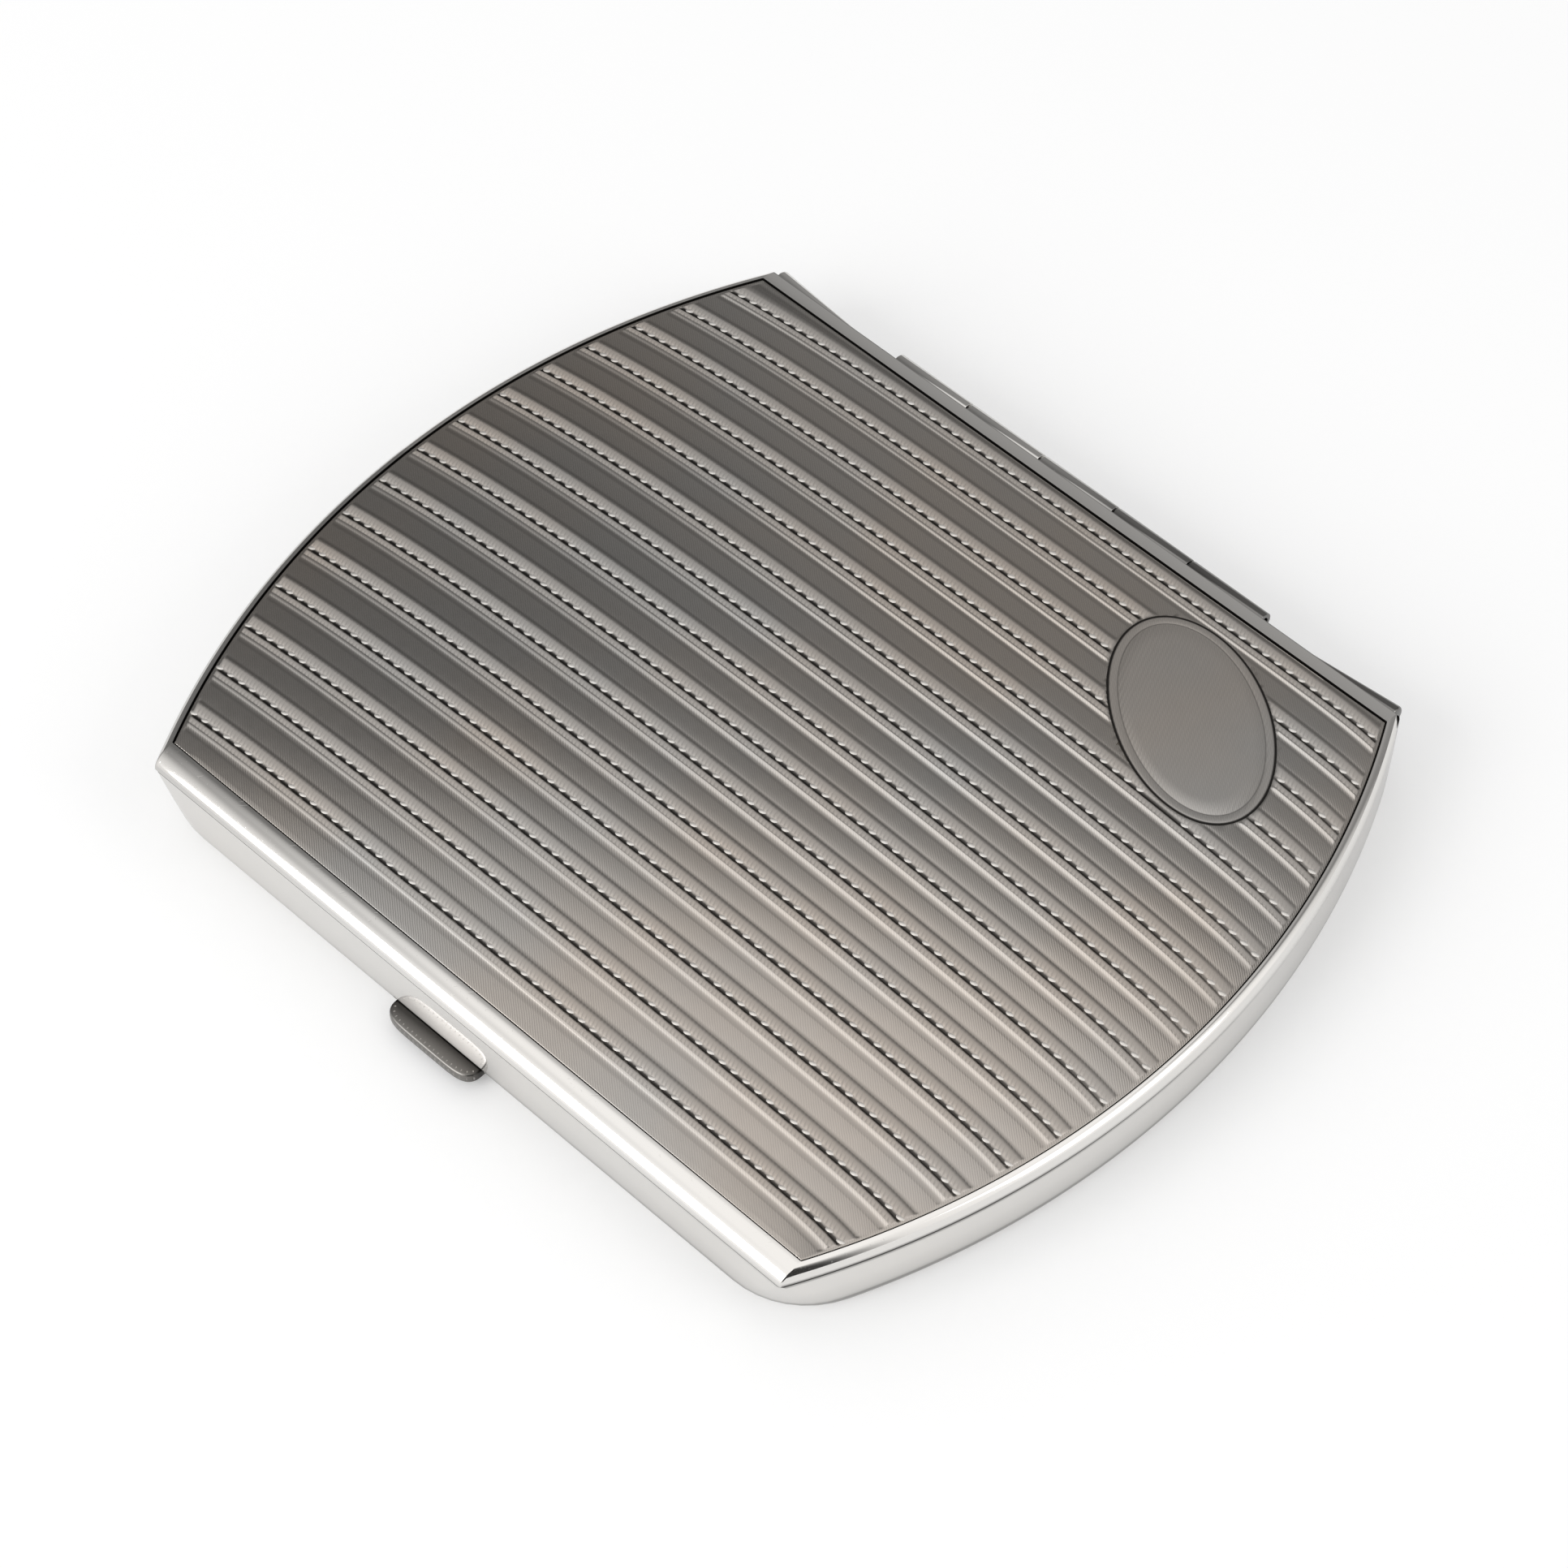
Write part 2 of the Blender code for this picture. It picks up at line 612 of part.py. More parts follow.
def hinge(silver, base, lid, axis):
    """Knuckles by turns on the base and on the lid, and the pin through them."""
    gaps = KNUCKLE_GAP * (KNUCKLE_COUNT - 1)
    length = (2 * BARREL_HALF_LENGTH - gaps) / KNUCKLE_COUNT
    for i in range(KNUCKLE_COUNT):
        x = -BARREL_HALF_LENGTH + length / 2 + i * (length + KNUCKLE_GAP)
        if i % 2 == 0:
            name = "base_knuckle_%d" % (i // 2 + 1)
            parent = base
            place = axis + Vector((x, 0.0, 0.0))
        else:
            name = "lid_knuckle_%d" % (i // 2 + 1)
            parent = lid
            place = Vector((x, 0.0, 0.0))
        knuckle = tube(name, BARREL_RADIUS, BARREL_BORE, length / 2)
        finish(knuckle, silver, parent, place)
    reach = BARREL_HALF_LENGTH - PIN_RECESS
    pin = rod("hinge_pin", PIN_RADIUS, -reach, reach, "X", BORE_PARTS)
    finish(pin, silver, base, axis)


def striker(gilt, parent, seam):
    """Angle plate under the lid's front ledge, with the window that the hook enters."""
    near = -HALF_DEPTH + STRIKER_INSET
    far = near + STRIKER_SHEET
    foot_top = STRIKER_FOOT_HEIGHT + STRIKER_FOOT_SHEET
    section = [
        (near, -STRIKER_DROP),
        (far, -STRIKER_DROP),
        (far, STRIKER_FOOT_HEIGHT),
        (near + STRIKER_FOOT_WIDTH, STRIKER_FOOT_HEIGHT),
        (near + STRIKER_FOOT_WIDTH, foot_top),
        (near, foot_top),
    ]
    half = STRIKER_WIDTH / 2
    item = bar("lid_striker", section, -half, half)
    window_half = HOOK_WIDTH / 2 + WINDOW_SIDE_GAP
    window = block(
        "striker_window",
        (-window_half, near - CUT_OVERRUN, -WINDOW_BOTTOM_DROP),
        (window_half, far + CUT_OVERRUN, -WINDOW_TOP_DROP),
    )
    place = seam + Vector((THUMB_X, 0.0, 0.0))
    cut(item, guide(window, parent, place))
    return finish(item, gilt, parent, place)


def thumb_plan(shrink):
    """Plan of the thumb-piece: blunt rounded front edge with fine knurls, straight at the back."""
    half = THUMB_HALF_WIDTH - shrink
    reach = THUMB_PROTRUSION - shrink
    plain = THUMB_PLAIN_SHARE * THUMB_HALF_WIDTH
    knurls = round(2 * (THUMB_HALF_WIDTH - plain) / THUMB_KNURL_PITCH)
    span = knurls * THUMB_KNURL_PITCH / 2
    samples = []
    for i in range(THUMB_EDGE_PARTS):
        angle = pi / 2 * i / THUMB_EDGE_PARTS
        samples.append(-half + (half - span) * (1 - cos(angle)))
    for i in range(knurls * KNURL_SAMPLES // 2 + 1):
        samples.append(-span + i * THUMB_KNURL_PITCH / (KNURL_SAMPLES // 2))
    samples += [-x for x in reversed(samples[:THUMB_EDGE_PARTS])]
    points = []
    for x in samples:
        blunt = (1 - min(abs(x) / half, 1) ** THUMB_EDGE_POWER) ** (1 / THUMB_CORNER_POWER)
        knurl = 0.0
        if abs(x) < span:
            knurl = THUMB_KNURL_DEPTH * (1 - cos(2 * pi * (x + span) / THUMB_KNURL_PITCH)) / 2
        points.append((x, -HALF_DEPTH - reach * blunt + knurl))
    back = -HALF_DEPTH + THUMB_ROOT_INSET
    points.append((half, back))
    points.append((-half, back))
    return points


def thumb_piece(silver, gilt, parent, place):
    """Push-piece through the base's front wall, with its inner flange, studs and hook."""
    top = -THUMB_TOP_DROP
    bottom = top - THUMB_THICKNESS
    layers = []
    for height, shrink in (
        (bottom, THUMB_CHAMFER),
        (bottom + THUMB_CHAMFER, 0.0),
        (top - THUMB_CHAMFER, 0.0),
        (top, THUMB_CHAMFER),
    ):
        layers.append([(x, y, height) for x, y in thumb_plan(shrink)])
    item = stack("thumb_piece", layers)
    near = -HALF_DEPTH + THUMB_FLANGE_INSET
    far = near + THUMB_FLANGE_SHEET
    half = THUMB_HALF_WIDTH + THUMB_FLANGE_OVERLAP
    flange = block(
        "thumb_flange",
        (-half, near, -THUMB_FLANGE_BOTTOM_DROP),
        (half, far, -THUMB_FLANGE_TOP_DROP),
    )
    join(item, guide(flange, parent, place))
    stud_end = -HALF_DEPTH + HOOK_INSET + HOOK_SHEET
    for side, label in ((-1, "left"), (1, "right")):
        stud_start = -HALF_DEPTH + THUMB_ROOT_INSET
        stud = rod("stud_" + label, STUD_RADIUS, stud_start, stud_end, "Y", BORE_PARTS)
        offset = Vector((side * STUD_SPACING / 2, 0.0, -STUD_DROP))
        join(item, guide(stud, parent, place + offset))
    finish(item, silver, parent, place)

    face = -HALF_DEPTH + HOOK_INSET
    section = [
        (face, -HOOK_BOTTOM_DROP),
        (face + HOOK_SHEET, -HOOK_BOTTOM_DROP),
        (face + HOOK_SHEET, -HOOK_TOP_DROP),
        (face, -NOSE_TOP_DROP),
        (-HALF_DEPTH + NOSE_INSET, -NOSE_TIP_TOP_DROP),
        (-HALF_DEPTH + NOSE_INSET, -NOSE_BOTTOM_DROP),
        (face, -NOSE_BOTTOM_DROP),
    ]
    hook = bar("catch_hook", section, -HOOK_WIDTH / 2, HOOK_WIDTH / 2)
    for side, label in ((-1, "left"), (1, "right")):
        hole = rod(
            "hook_hole_" + label,
            STUD_HOLE_RADIUS,
            face - CUT_OVERRUN,
            face + HOOK_SHEET + CUT_OVERRUN,
            "Y",
            BORE_PARTS,
        )
        offset = Vector((side * STUD_SPACING / 2, 0.0, -STUD_DROP))
        cut(hook, guide(hole, parent, place + offset))
    return finish(hook, gilt, parent, place)


def catch_spring(steel, silver, parent, seam):
    """Flat leaf spring along the front wall, riveted to its anchor at one end."""
    near = -HALF_DEPTH + SPRING_INSET
    far = near + SPRING_SHEET
    leaf = block(
        "catch_spring",
        (SPRING_LEFT, near, -SPRING_BOTTOM_DROP),
        (SPRING_RIGHT, far, -SPRING_TOP_DROP),
    )
    anchor = block(
        "spring_anchor",
        (-ANCHOR_LENGTH / 2, -HALF_DEPTH + ANCHOR_INSET, -ANCHOR_BOTTOM_DROP),
        (ANCHOR_LENGTH / 2, near - SEAT_GAP, -ANCHOR_TOP_DROP),
    )
    head = far + SEAT_GAP
    rivet_shape = (
        (near - RIVET_SHANK, RIVET_RADIUS),
        (head, RIVET_RADIUS),
        (head, RIVET_HEAD_RADIUS),
        (head + RIVET_HEAD_HEIGHT, RIVET_RADIUS),
    )
    for side, label in ((-1, "left"), (1, "right")):
        stud = Vector((THUMB_X + side * STUD_SPACING / 2, 0.0, -STUD_DROP))
        start, end = near - CUT_OVERRUN, far + CUT_OVERRUN
        hole = rod("stud_hole_" + label, STUD_HOLE_RADIUS, start, end, "Y", BORE_PARTS)
        cut(leaf, guide(hole, parent, seam + stud))
        place = seam + Vector((ANCHOR_X + side * RIVET_SPACING / 2, 0.0, -RIVET_DROP))
        hole = rod("rivet_hole_" + label, RIVET_HOLE_RADIUS, start, end, "Y", BORE_PARTS)
        cut(leaf, guide(hole, parent, place))
        start = -HALF_DEPTH + ANCHOR_INSET - CUT_OVERRUN
        seat = rod("rivet_seat_" + label, RIVET_HOLE_RADIUS, start, near, "Y", BORE_PARTS)
        cut(anchor, guide(seat, parent, place))
        layers = []
        for y, radius in rivet_shape:
            layers.append([(x, y, z) for x, z in circle(radius, BORE_PARTS)])
        finish(stack("spring_rivet_" + label, layers), silver, parent, place)
    finish(anchor, silver, parent, seam + Vector((ANCHOR_X, 0.0, 0.0)))
    return finish(leaf, steel, parent, seam)


def strap_line():
    """Middle line of the elastic in X and Z, from the sewn tail round the wire and across."""
    radius = LOOP_WIRE_RADIUS + LOOP_WIRE_GAP + BAND_THICKNESS / 2
    top = radius
    tail = top - BAND_THICKNESS - BAND_TAIL_GAP
    right = [(LOOP_X - BAND_TAIL, tail), (LOOP_X - BAND_TAIL / 2, tail)]
    for i in range(WRAP_PARTS + 1):
        angle = -pi / 2 + pi * i / WRAP_PARTS
        right.append((LOOP_X + radius * cos(angle), radius * sin(angle)))
    left = [(-x, z) for x, z in reversed(right)]
    return right + left


def elastic(tape, silver, parent, place):
    """Elastic band across the base and the wire loops soldered at its ends."""
    line = [Vector(point) for point in strap_line()]
    sides = ([], [])
    for i, here in enumerate(line):
        before = line[max(i - 1, 0)]
        after = line[min(i + 1, len(line) - 1)]
        along = (after - before).normalized()
        across = Vector((-along.y, along.x)) * BAND_THICKNESS / 2
        sides[0].append(here + across)
        sides[1].append(here - across)
    section = sides[0] + list(reversed(sides[1]))
    layers = []
    for y in (-BAND_WIDTH / 2, BAND_WIDTH / 2):
        layers.append([(point.x, y, point.y) for point in section])
    band = stack("elastic_band", layers)
    finish(band, tape, parent, place)

    for side, label in ((-1, "left"), (1, "right")):
        foot = HALF_LENGTH - LIP_INSET - LIP_SHEET - LOOP_SEAT
        half = LOOP_LENGTH / 2 - LOOP_WIRE_RADIUS
        path = [(foot, -half)]
        for corner in (-1, 1):
            for i in range(BEND_PARTS + 1):
                turn = pi / 2 * i / BEND_PARTS
                if corner > 0:
                    turn = pi / 2 - turn
                x = LOOP_X + LOOP_BEND_RADIUS * (1 - sin(turn))
                y = corner * (half - LOOP_BEND_RADIUS * (1 - cos(turn)))
                path.append((x, y))
        path.append((foot, half))
        curve = bpy.data.curves.new("elastic_loop_" + label, "CURVE")
        curve.dimensions = "3D"
        spline = curve.splines.new("POLY")
        spline.points.add(len(path) - 1)
        for point, (x, y) in zip(spline.points, path):
            point.co = (side * x, side * y, 0.0, 1.0)
        curve.bevel_depth = LOOP_WIRE_RADIUS
        curve.bevel_resolution = 2
        curve.use_fill_caps = True
        loop = bpy.data.objects.new("elastic_loop_" + label, curve)
        bpy.context.scene.collection.objects.link(loop)
        curve.materials.append(silver)
        loop.parent = parent
        loop.location = place


def main():
    """Build the closed case."""
    for item in list(bpy.data.objects):
        bpy.data.objects.remove(item, do_unlink=True)

    polished = metal("polished_silver", (0.78, 0.77, 0.75), 0.12)
    turned = metal("engine_turned_silver", (0.46, 0.44, 0.42), 0.35)
    gilt = metal("gilt_silver", (0.80, 0.62, 0.34), 0.25)
    steel = metal("spring_steel", (0.52, 0.53, 0.55), 0.30)
    tape = cloth("elastic_tape", (0.09, 0.08, 0.07))

    seam = Vector((0.0, 0.0, BASE_HEIGHT))
    axis = seam + Vector((0.0, HINGE_Y, 0.0))
    base = frame_empty("base_frame", None, (0.0, 0.0, 0.0))
    lid = frame_empty("lid_hinge_axis", base, axis)
    push = frame_empty("thumb_travel", base, seam + Vector((THUMB_X, 0.0, 0.0)))
    lid_seam = seam - axis

    base_frame(polished, base, seam)
    base_plate(turned, base, seam)
    base_lips(gilt, base, seam)
    lid_frame(polished, lid, lid_seam)
    lid_plate(turned, lid, lid_seam)
    hinge_bearers(gilt, base, lid, axis)
    hinge(polished, base, lid, axis)
    striker(gilt, lid, lid_seam)
    thumb_piece(polished, gilt, push, Vector((0.0, 0.0, 0.0)))
    catch_spring(steel, polished, base, seam)
    elastic(tape, polished, base, seam - Vector((0.0, 0.0, LOOP_DROP)))


main()
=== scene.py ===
"""Finishes the silver cigarette case: engine turning, polished frames, hinge, catch and elastic.

X runs along the hinge, Y from the thumb-piece to the hinge and Z up, in metres, as in the frame.
Heights called "rise" and depths called "drop" are measured from the seam between lid and base.
"""

import json
import logging
from dataclasses import dataclass
from enum import Enum, IntEnum
from math import asin, atan2, ceil, cos, pi, radians, sin, sqrt
from typing import Any, Callable, Iterable, Optional, Sequence

import bmesh
import bpy
import numpy as np
from mathutils import Matrix, Vector


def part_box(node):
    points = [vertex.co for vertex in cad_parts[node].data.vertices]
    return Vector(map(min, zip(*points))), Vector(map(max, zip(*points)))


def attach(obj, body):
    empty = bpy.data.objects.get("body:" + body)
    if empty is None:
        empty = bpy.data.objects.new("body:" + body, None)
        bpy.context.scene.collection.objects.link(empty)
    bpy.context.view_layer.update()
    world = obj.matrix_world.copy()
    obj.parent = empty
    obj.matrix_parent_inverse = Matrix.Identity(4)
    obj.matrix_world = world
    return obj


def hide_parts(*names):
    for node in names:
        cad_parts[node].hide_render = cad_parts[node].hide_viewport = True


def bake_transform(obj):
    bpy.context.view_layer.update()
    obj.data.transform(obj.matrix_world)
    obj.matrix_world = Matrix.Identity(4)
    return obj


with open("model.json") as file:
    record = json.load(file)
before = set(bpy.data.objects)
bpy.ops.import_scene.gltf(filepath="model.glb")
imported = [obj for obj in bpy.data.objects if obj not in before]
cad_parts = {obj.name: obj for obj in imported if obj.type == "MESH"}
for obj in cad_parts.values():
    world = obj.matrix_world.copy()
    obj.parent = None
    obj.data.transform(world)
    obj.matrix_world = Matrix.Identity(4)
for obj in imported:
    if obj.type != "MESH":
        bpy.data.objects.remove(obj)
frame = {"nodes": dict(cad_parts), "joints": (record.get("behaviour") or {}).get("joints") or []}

LOG = logging.getLogger("cigarette_case")
MM = 0.001
SEAM_HALF_GAP = 0.075 * MM
SEAM_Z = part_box("lid_rim")[0].z - SEAM_HALF_GAP
SMOOTH_ANGLE = radians(32)
FLOAT, VECTOR, COLOUR = "NodeSocketFloat", "NodeSocketVector", "NodeSocketColor"
GEOMETRY, MATERIAL = "NodeSocketGeometry", "NodeSocketMaterial"
WHITE = (1.0, 1.0, 1.0, 1.0)

Point = tuple[float, float, float]
Colour = tuple[float, float, float]
Face = tuple[int, ...]
Profile = list[tuple[float, float]]


class Body(Enum):
    """The three moving bodies of the case."""

    BASE = "base"
    LID = "lid"
    CATCH = "catch"


class Slot(Enum):
    """The record's material slots."""

    POLISHED = "polished_silver"
    TURNED = "engine_turned_silver"
    GILT = "gilt_silver"
    STEEL = "spring_steel"
    ELASTIC = "elastic_tape"


class Coat(IntEnum):
    """Which finish a face of a frame carries, as its place in the material list."""

    OUTSIDE = 0
    # Faces in the seam and the groove; their coat is painted shade.
    SEAT = 1
    INSIDE = 2


class Tree:
    """Node tree, with short forms of the nodes that are placed most."""

    def __init__(self, data: bpy.types.NodeTree) -> None:
        """Keep the tree that the nodes go into."""
        self.data = data

    def feed(self, target: bpy.types.NodeSocket, value: Any) -> None:
        """Join a node's socket to an input, or set the input to a plain value.

        Args:
            target: The input.
            value: The socket or value that it takes.
        """
        if isinstance(value, bpy.types.NodeSocket):
            self.data.links.new(value, target)
        else:
            target.default_value = value

    def put(self, kind: str, inputs: Optional[dict[Any, Any]] = None, **settings: Any) -> bpy.types.Node:
        """Add a node, set it up and feed its inputs.

        Args:
            kind: The node's type.
            inputs: Values, or sockets of other nodes, by input name or place.
            settings: Properties of the node.

        Returns:
            The new node.
        """
        node = self.data.nodes.new(kind)
        for name, value in settings.items():
            setattr(node, name, value)
        for name, value in (inputs or {}).items():
            self.feed(node.inputs[name], value)
        return node

    def math(self, operation: str, a: Any, b: Any = 0.0, c: Any = 0.0) -> bpy.types.NodeSocket:
        """Result of a Math node on up to three values or sockets."""
        return self.put("ShaderNodeMath", {0: a, 1: b, 2: c}, operation=operation).outputs[0]

    def xyz(self, x: Any = 0.0, y: Any = 0.0, z: Any = 0.0) -> bpy.types.NodeSocket:
        """Vector of three values or sockets."""
        return self.put("ShaderNodeCombineXYZ", {0: x, 1: y, 2: z}).outputs[0]

    def noise(self, vector: bpy.types.NodeSocket, scale: float, detail: float) -> bpy.types.NodeSocket:
        """Value of a noise texture."""
        return self.put("ShaderNodeTexNoise", {"Vector": vector, "Scale": scale, "Detail": detail}).outputs[0]

    def mix(self, share: Any, first: Any, second: Any, blend: str = "MIX") -> bpy.types.NodeSocket:
        """Colour between two, or the second laid over the first as the blend says."""
        inputs = {0: share, 6: first, 7: second}
        return self.put("ShaderNodeMix", inputs, data_type="RGBA", blend_type=blend).outputs[2]

    def rays(self, *kinds: str) -> bpy.types.NodeSocket:
        """Tell some kinds of light rays from all others.

        Args:
            kinds: Outputs of the Light Path node.

        Returns:
            A socket that is 1 for these rays and 0 for all others.
        """
        path = self.put("ShaderNodeLightPath").outputs
        shown = path[kinds[0]]
        for kind in kinds[1:]:
            shown = self.math("MAXIMUM", shown, path[kind])
        return shown


class Group(Tree):
    """Node group with named inputs and outputs."""

    def __init__(self, name: str, kind: str, inputs: dict[str, Any], outputs: dict[str, str]) -> None:
        """Make the group and its sockets.

        Args:
            name: Name of the group.
            kind: Type of the group's tree.
            inputs: By input name its default value, or its socket type if it has no default.
            outputs: Socket type by output name.
        """
        super().__init__(bpy.data.node_groups.new(name, kind))
        self.names: dict[str, str] = {}
        kinds = {float: FLOAT, int: "NodeSocketInt", tuple: VECTOR}
        for label, value in inputs.items():
            socket_type = value if isinstance(value, str) else kinds[type(value)]
            socket = self.data.interface.new_socket(name=label, in_out="INPUT", socket_type=socket_type)
            if not isinstance(value, str):
                socket.default_value = value
            self.names[label] = socket.identifier
        for label, socket_type in outputs.items():
            self.data.interface.new_socket(name=label, in_out="OUTPUT", socket_type=socket_type)
        self.given = self.put("NodeGroupInput").outputs
        self.result = self.put("NodeGroupOutput").inputs


class Effects:
    """The effects that several finishes share."""

    def __init__(self) -> None:
        """Build every group once."""
        self.handling = self._handling()
        self.toning_and_shade = self._toning()
        self.graining = self._graining()

    @staticmethod
    def _handling() -> Group:
        """Fine scratches in two directions and soft smudges from being handled.

        Returns:
            The group.
        """
        inputs = {"Vector": VECTOR, "Length": 90.0, "Fineness": 5200.0}
        group = Group("handling_marks", "ShaderNodeTree", inputs, {"Scratch": FLOAT, "Smudge": FLOAT})
        given = group.given
        marks = []
        for angle in (0.5, -0.85):
            turn = {"Vector": given["Vector"], "Rotation": (0.3, 0.2, angle)}
            turned = group.put("ShaderNodeMapping", turn).outputs[0]
            scale = group.xyz(given["Length"], given["Fineness"], given["Fineness"])
            stretched = group.put("ShaderNodeVectorMath", {0: turned, 1: scale}, operation="MULTIPLY")
            lines = group.noise(stretched.outputs[0], 1.0, 1.0)
            marks.append(group.put("ShaderNodeMapRange", {"Value": lines, 1: 0.70, 2: 0.76}).outputs[0])
        group.feed(group.result["Scratch"], group.math("MAXIMUM", *marks))
        group.feed(group.result["Smudge"], group.noise(given["Vector"], 110.0, 3.0))
        return group

    @staticmethod
    def _toning() -> Group:
        """Silver darkened in its cuts and under painted shade, drifting slightly in hue.

        Returns:
            The group.
        """
        inputs = {"Vector": VECTOR, "Colour": COLOUR, "Cut": 0.0, "Depth": 0.9, "Drift": 0.5}
        group = Group("silver_toning", "ShaderNodeTree", inputs, {"Colour": COLOUR})
        given = group.given
        tint = group.put("ShaderNodeValToRGB", {"Fac": group.noise(given["Vector"], 45.0, 2.0)})
        cool, warm = tint.color_ramp.elements
        cool.position, cool.color = 0.35, (0.92, 0.93, 0.94, 1.0)
        warm.position, warm.color = 0.65, (1.0, 0.94, 0.89, 1.0)
        drifted = group.mix(given["Drift"], given["Colour"], tint.outputs[0], "MULTIPLY")
        share = group.math("MULTIPLY", given["Cut"], given["Depth"])
        group.feed(group.result["Colour"], group.mix(share, drifted, (0.012, 0.011, 0.010, 1.0)))
        return group

    @staticmethod
    def _graining() -> Group:
        """Fine parallel lines left by a graver, a brush or a loom.

        Returns:
            The group.
        """
        inputs = {"Vector": VECTOR, "Pitch": 0.3 * MM, "Slant": 0.0, "Waver": 0.2}
        group = Group("fine_graining", "ShaderNodeTree", inputs, {"Height": FLOAT, "Uneven": FLOAT})
        given = group.given
        place = group.put("ShaderNodeSeparateXYZ", {0: given["Vector"]}).outputs
        lean = group.math("MULTIPLY_ADD", place[1], given["Slant"], place[0])
        uneven = group.noise(given["Vector"], 900.0, 2.0)
        turns = group.math("DIVIDE", lean, given["Pitch"])
        wavering = group.math("MULTIPLY_ADD", uneven, given["Waver"], turns)
        wave = group.math("SINE", group.math("MULTIPLY", wavering, 2 * pi))
        group.feed(group.result["Height"], group.math("MULTIPLY_ADD", wave, 0.5, 0.5))
        group.feed(group.result["Uneven"], uneven)
        return group


class Material(Tree):
    """Start of a finish: a material with its Principled shader and its pattern space."""

    def __init__(self, name: str, metallic: float = 1.0) -> None:
        """Make the material.

        Args:
            name: Name of the material.
            metallic: Metallic value of the shader.
        """
        self.made = bpy.data.materials.new(name)
        self.made.use_nodes = True
        super().__init__(self.made.node_tree)
        self.shader = self.data.nodes["Principled BSDF"].inputs
        self.shader["Metallic"].default_value = metallic
        self.space = self.put("ShaderNodeTexCoord").outputs["Object"]

    def attribute(self, name: str) -> bpy.types.NodeSocket:
        """Value that the piece carries on its points."""
        return self.put("ShaderNodeAttribute", attribute_name=name).outputs["Fac"]

    def place(self, group: Group, inputs: Optional[dict[str, Any]] = None) -> bpy.types.NodeOutputs:
        """Put an effect into the material, on its own pattern space if no other is given."""
        fed = {"Vector": self.space} | (inputs or {})
        return self.put("ShaderNodeGroup", fed, node_tree=group.data).outputs

    def grain(
        self, effects: Effects, pitch: float, slant: float, waver: float, **space: Any
    ) -> bpy.types.NodeOutputs:
        """Fine lines of a pitch, leaning by a slant; Vector=... sets another pattern space."""
        return self.place(effects.graining, {"Pitch": pitch, "Slant": slant, "Waver": waver, **space})

    def tone(self, effects: Effects, colour: Any, cut: Any, depth: float, drift: float, **space: Any) -> Any:
        """Tone a colour: darken it in cuts and where painted shade is marked, and let its hue drift.

        Args:
            effects: The shared effects.
            colour: The clean colour, or its socket.
            cut: How deep in a cut the surface lies, or how much painted shade it takes, from 0 to 1.
            depth: How dark the cuts and the painted shade are.
            drift: How much the hue drifts.
            space: Vector=... sets another pattern space.

        Returns:
            The toned colour's socket.
        """
        clean = colour if isinstance(colour, bpy.types.NodeSocket) else (*colour, 1.0)
        inputs = {"Colour": clean, "Cut": cut, "Depth": depth, "Drift": drift, **space}
        return self.place(effects.toning_and_shade, inputs)["Colour"]

    def finish(self, colour: Any, roughness: Any, height: Any, depth: float) -> bpy.types.Material:
        """Join everything to the shader.

        Args:
            colour: The colour's socket.
            roughness: The roughness's socket.
            height: The bump's height, from 0 to 1.
            depth: How deep a full change of height is, in metres.

        Returns:
            The material.
        """
        self.feed(self.shader["Base Color"], colour)
        self.feed(self.shader["Roughness"], roughness)
        bump = self.put("ShaderNodeBump", {"Height": height, "Distance": depth, "Strength": 1.0})
        self.feed(self.shader["Normal"], bump.outputs[0])
        return self.made


@dataclass(frozen=True)
class PolishedSilver:
    """Hand-polished sterling silver with fine handling marks, darkened where pieces mark painted shade on it.
    """

    name: str = "polished_silver"
    colour: Colour = (0.86, 0.845, 0.82)
    roughness: float = 0.055
    toning_and_shade: float = 0.9
    scratch_depth: float = 0.0008 * MM

    def build(self, effects: Effects) -> bpy.types.Material:
        """Make the material.

        Args:
            effects: The shared effects.

        Returns:
            The material.
        """
        made = Material(self.name)
        marks = made.place(effects.handling)
        # Painted shade: the cut attribute on the polished pieces darkens seams, hollows, the foot roll, the
        # stubs and the knuckles.
        toned = made.tone(effects, self.colour, made.attribute("cut"), self.toning_and_shade, 0.12)
        worn = made.math("MULTIPLY_ADD", marks["Scratch"], 0.10, self.roughness)
        worn = made.math("MULTIPLY_ADD", marks["Smudge"], 0.06, worn)
        return made.finish(toned, worn, marks["Scratch"], -self.scratch_depth)


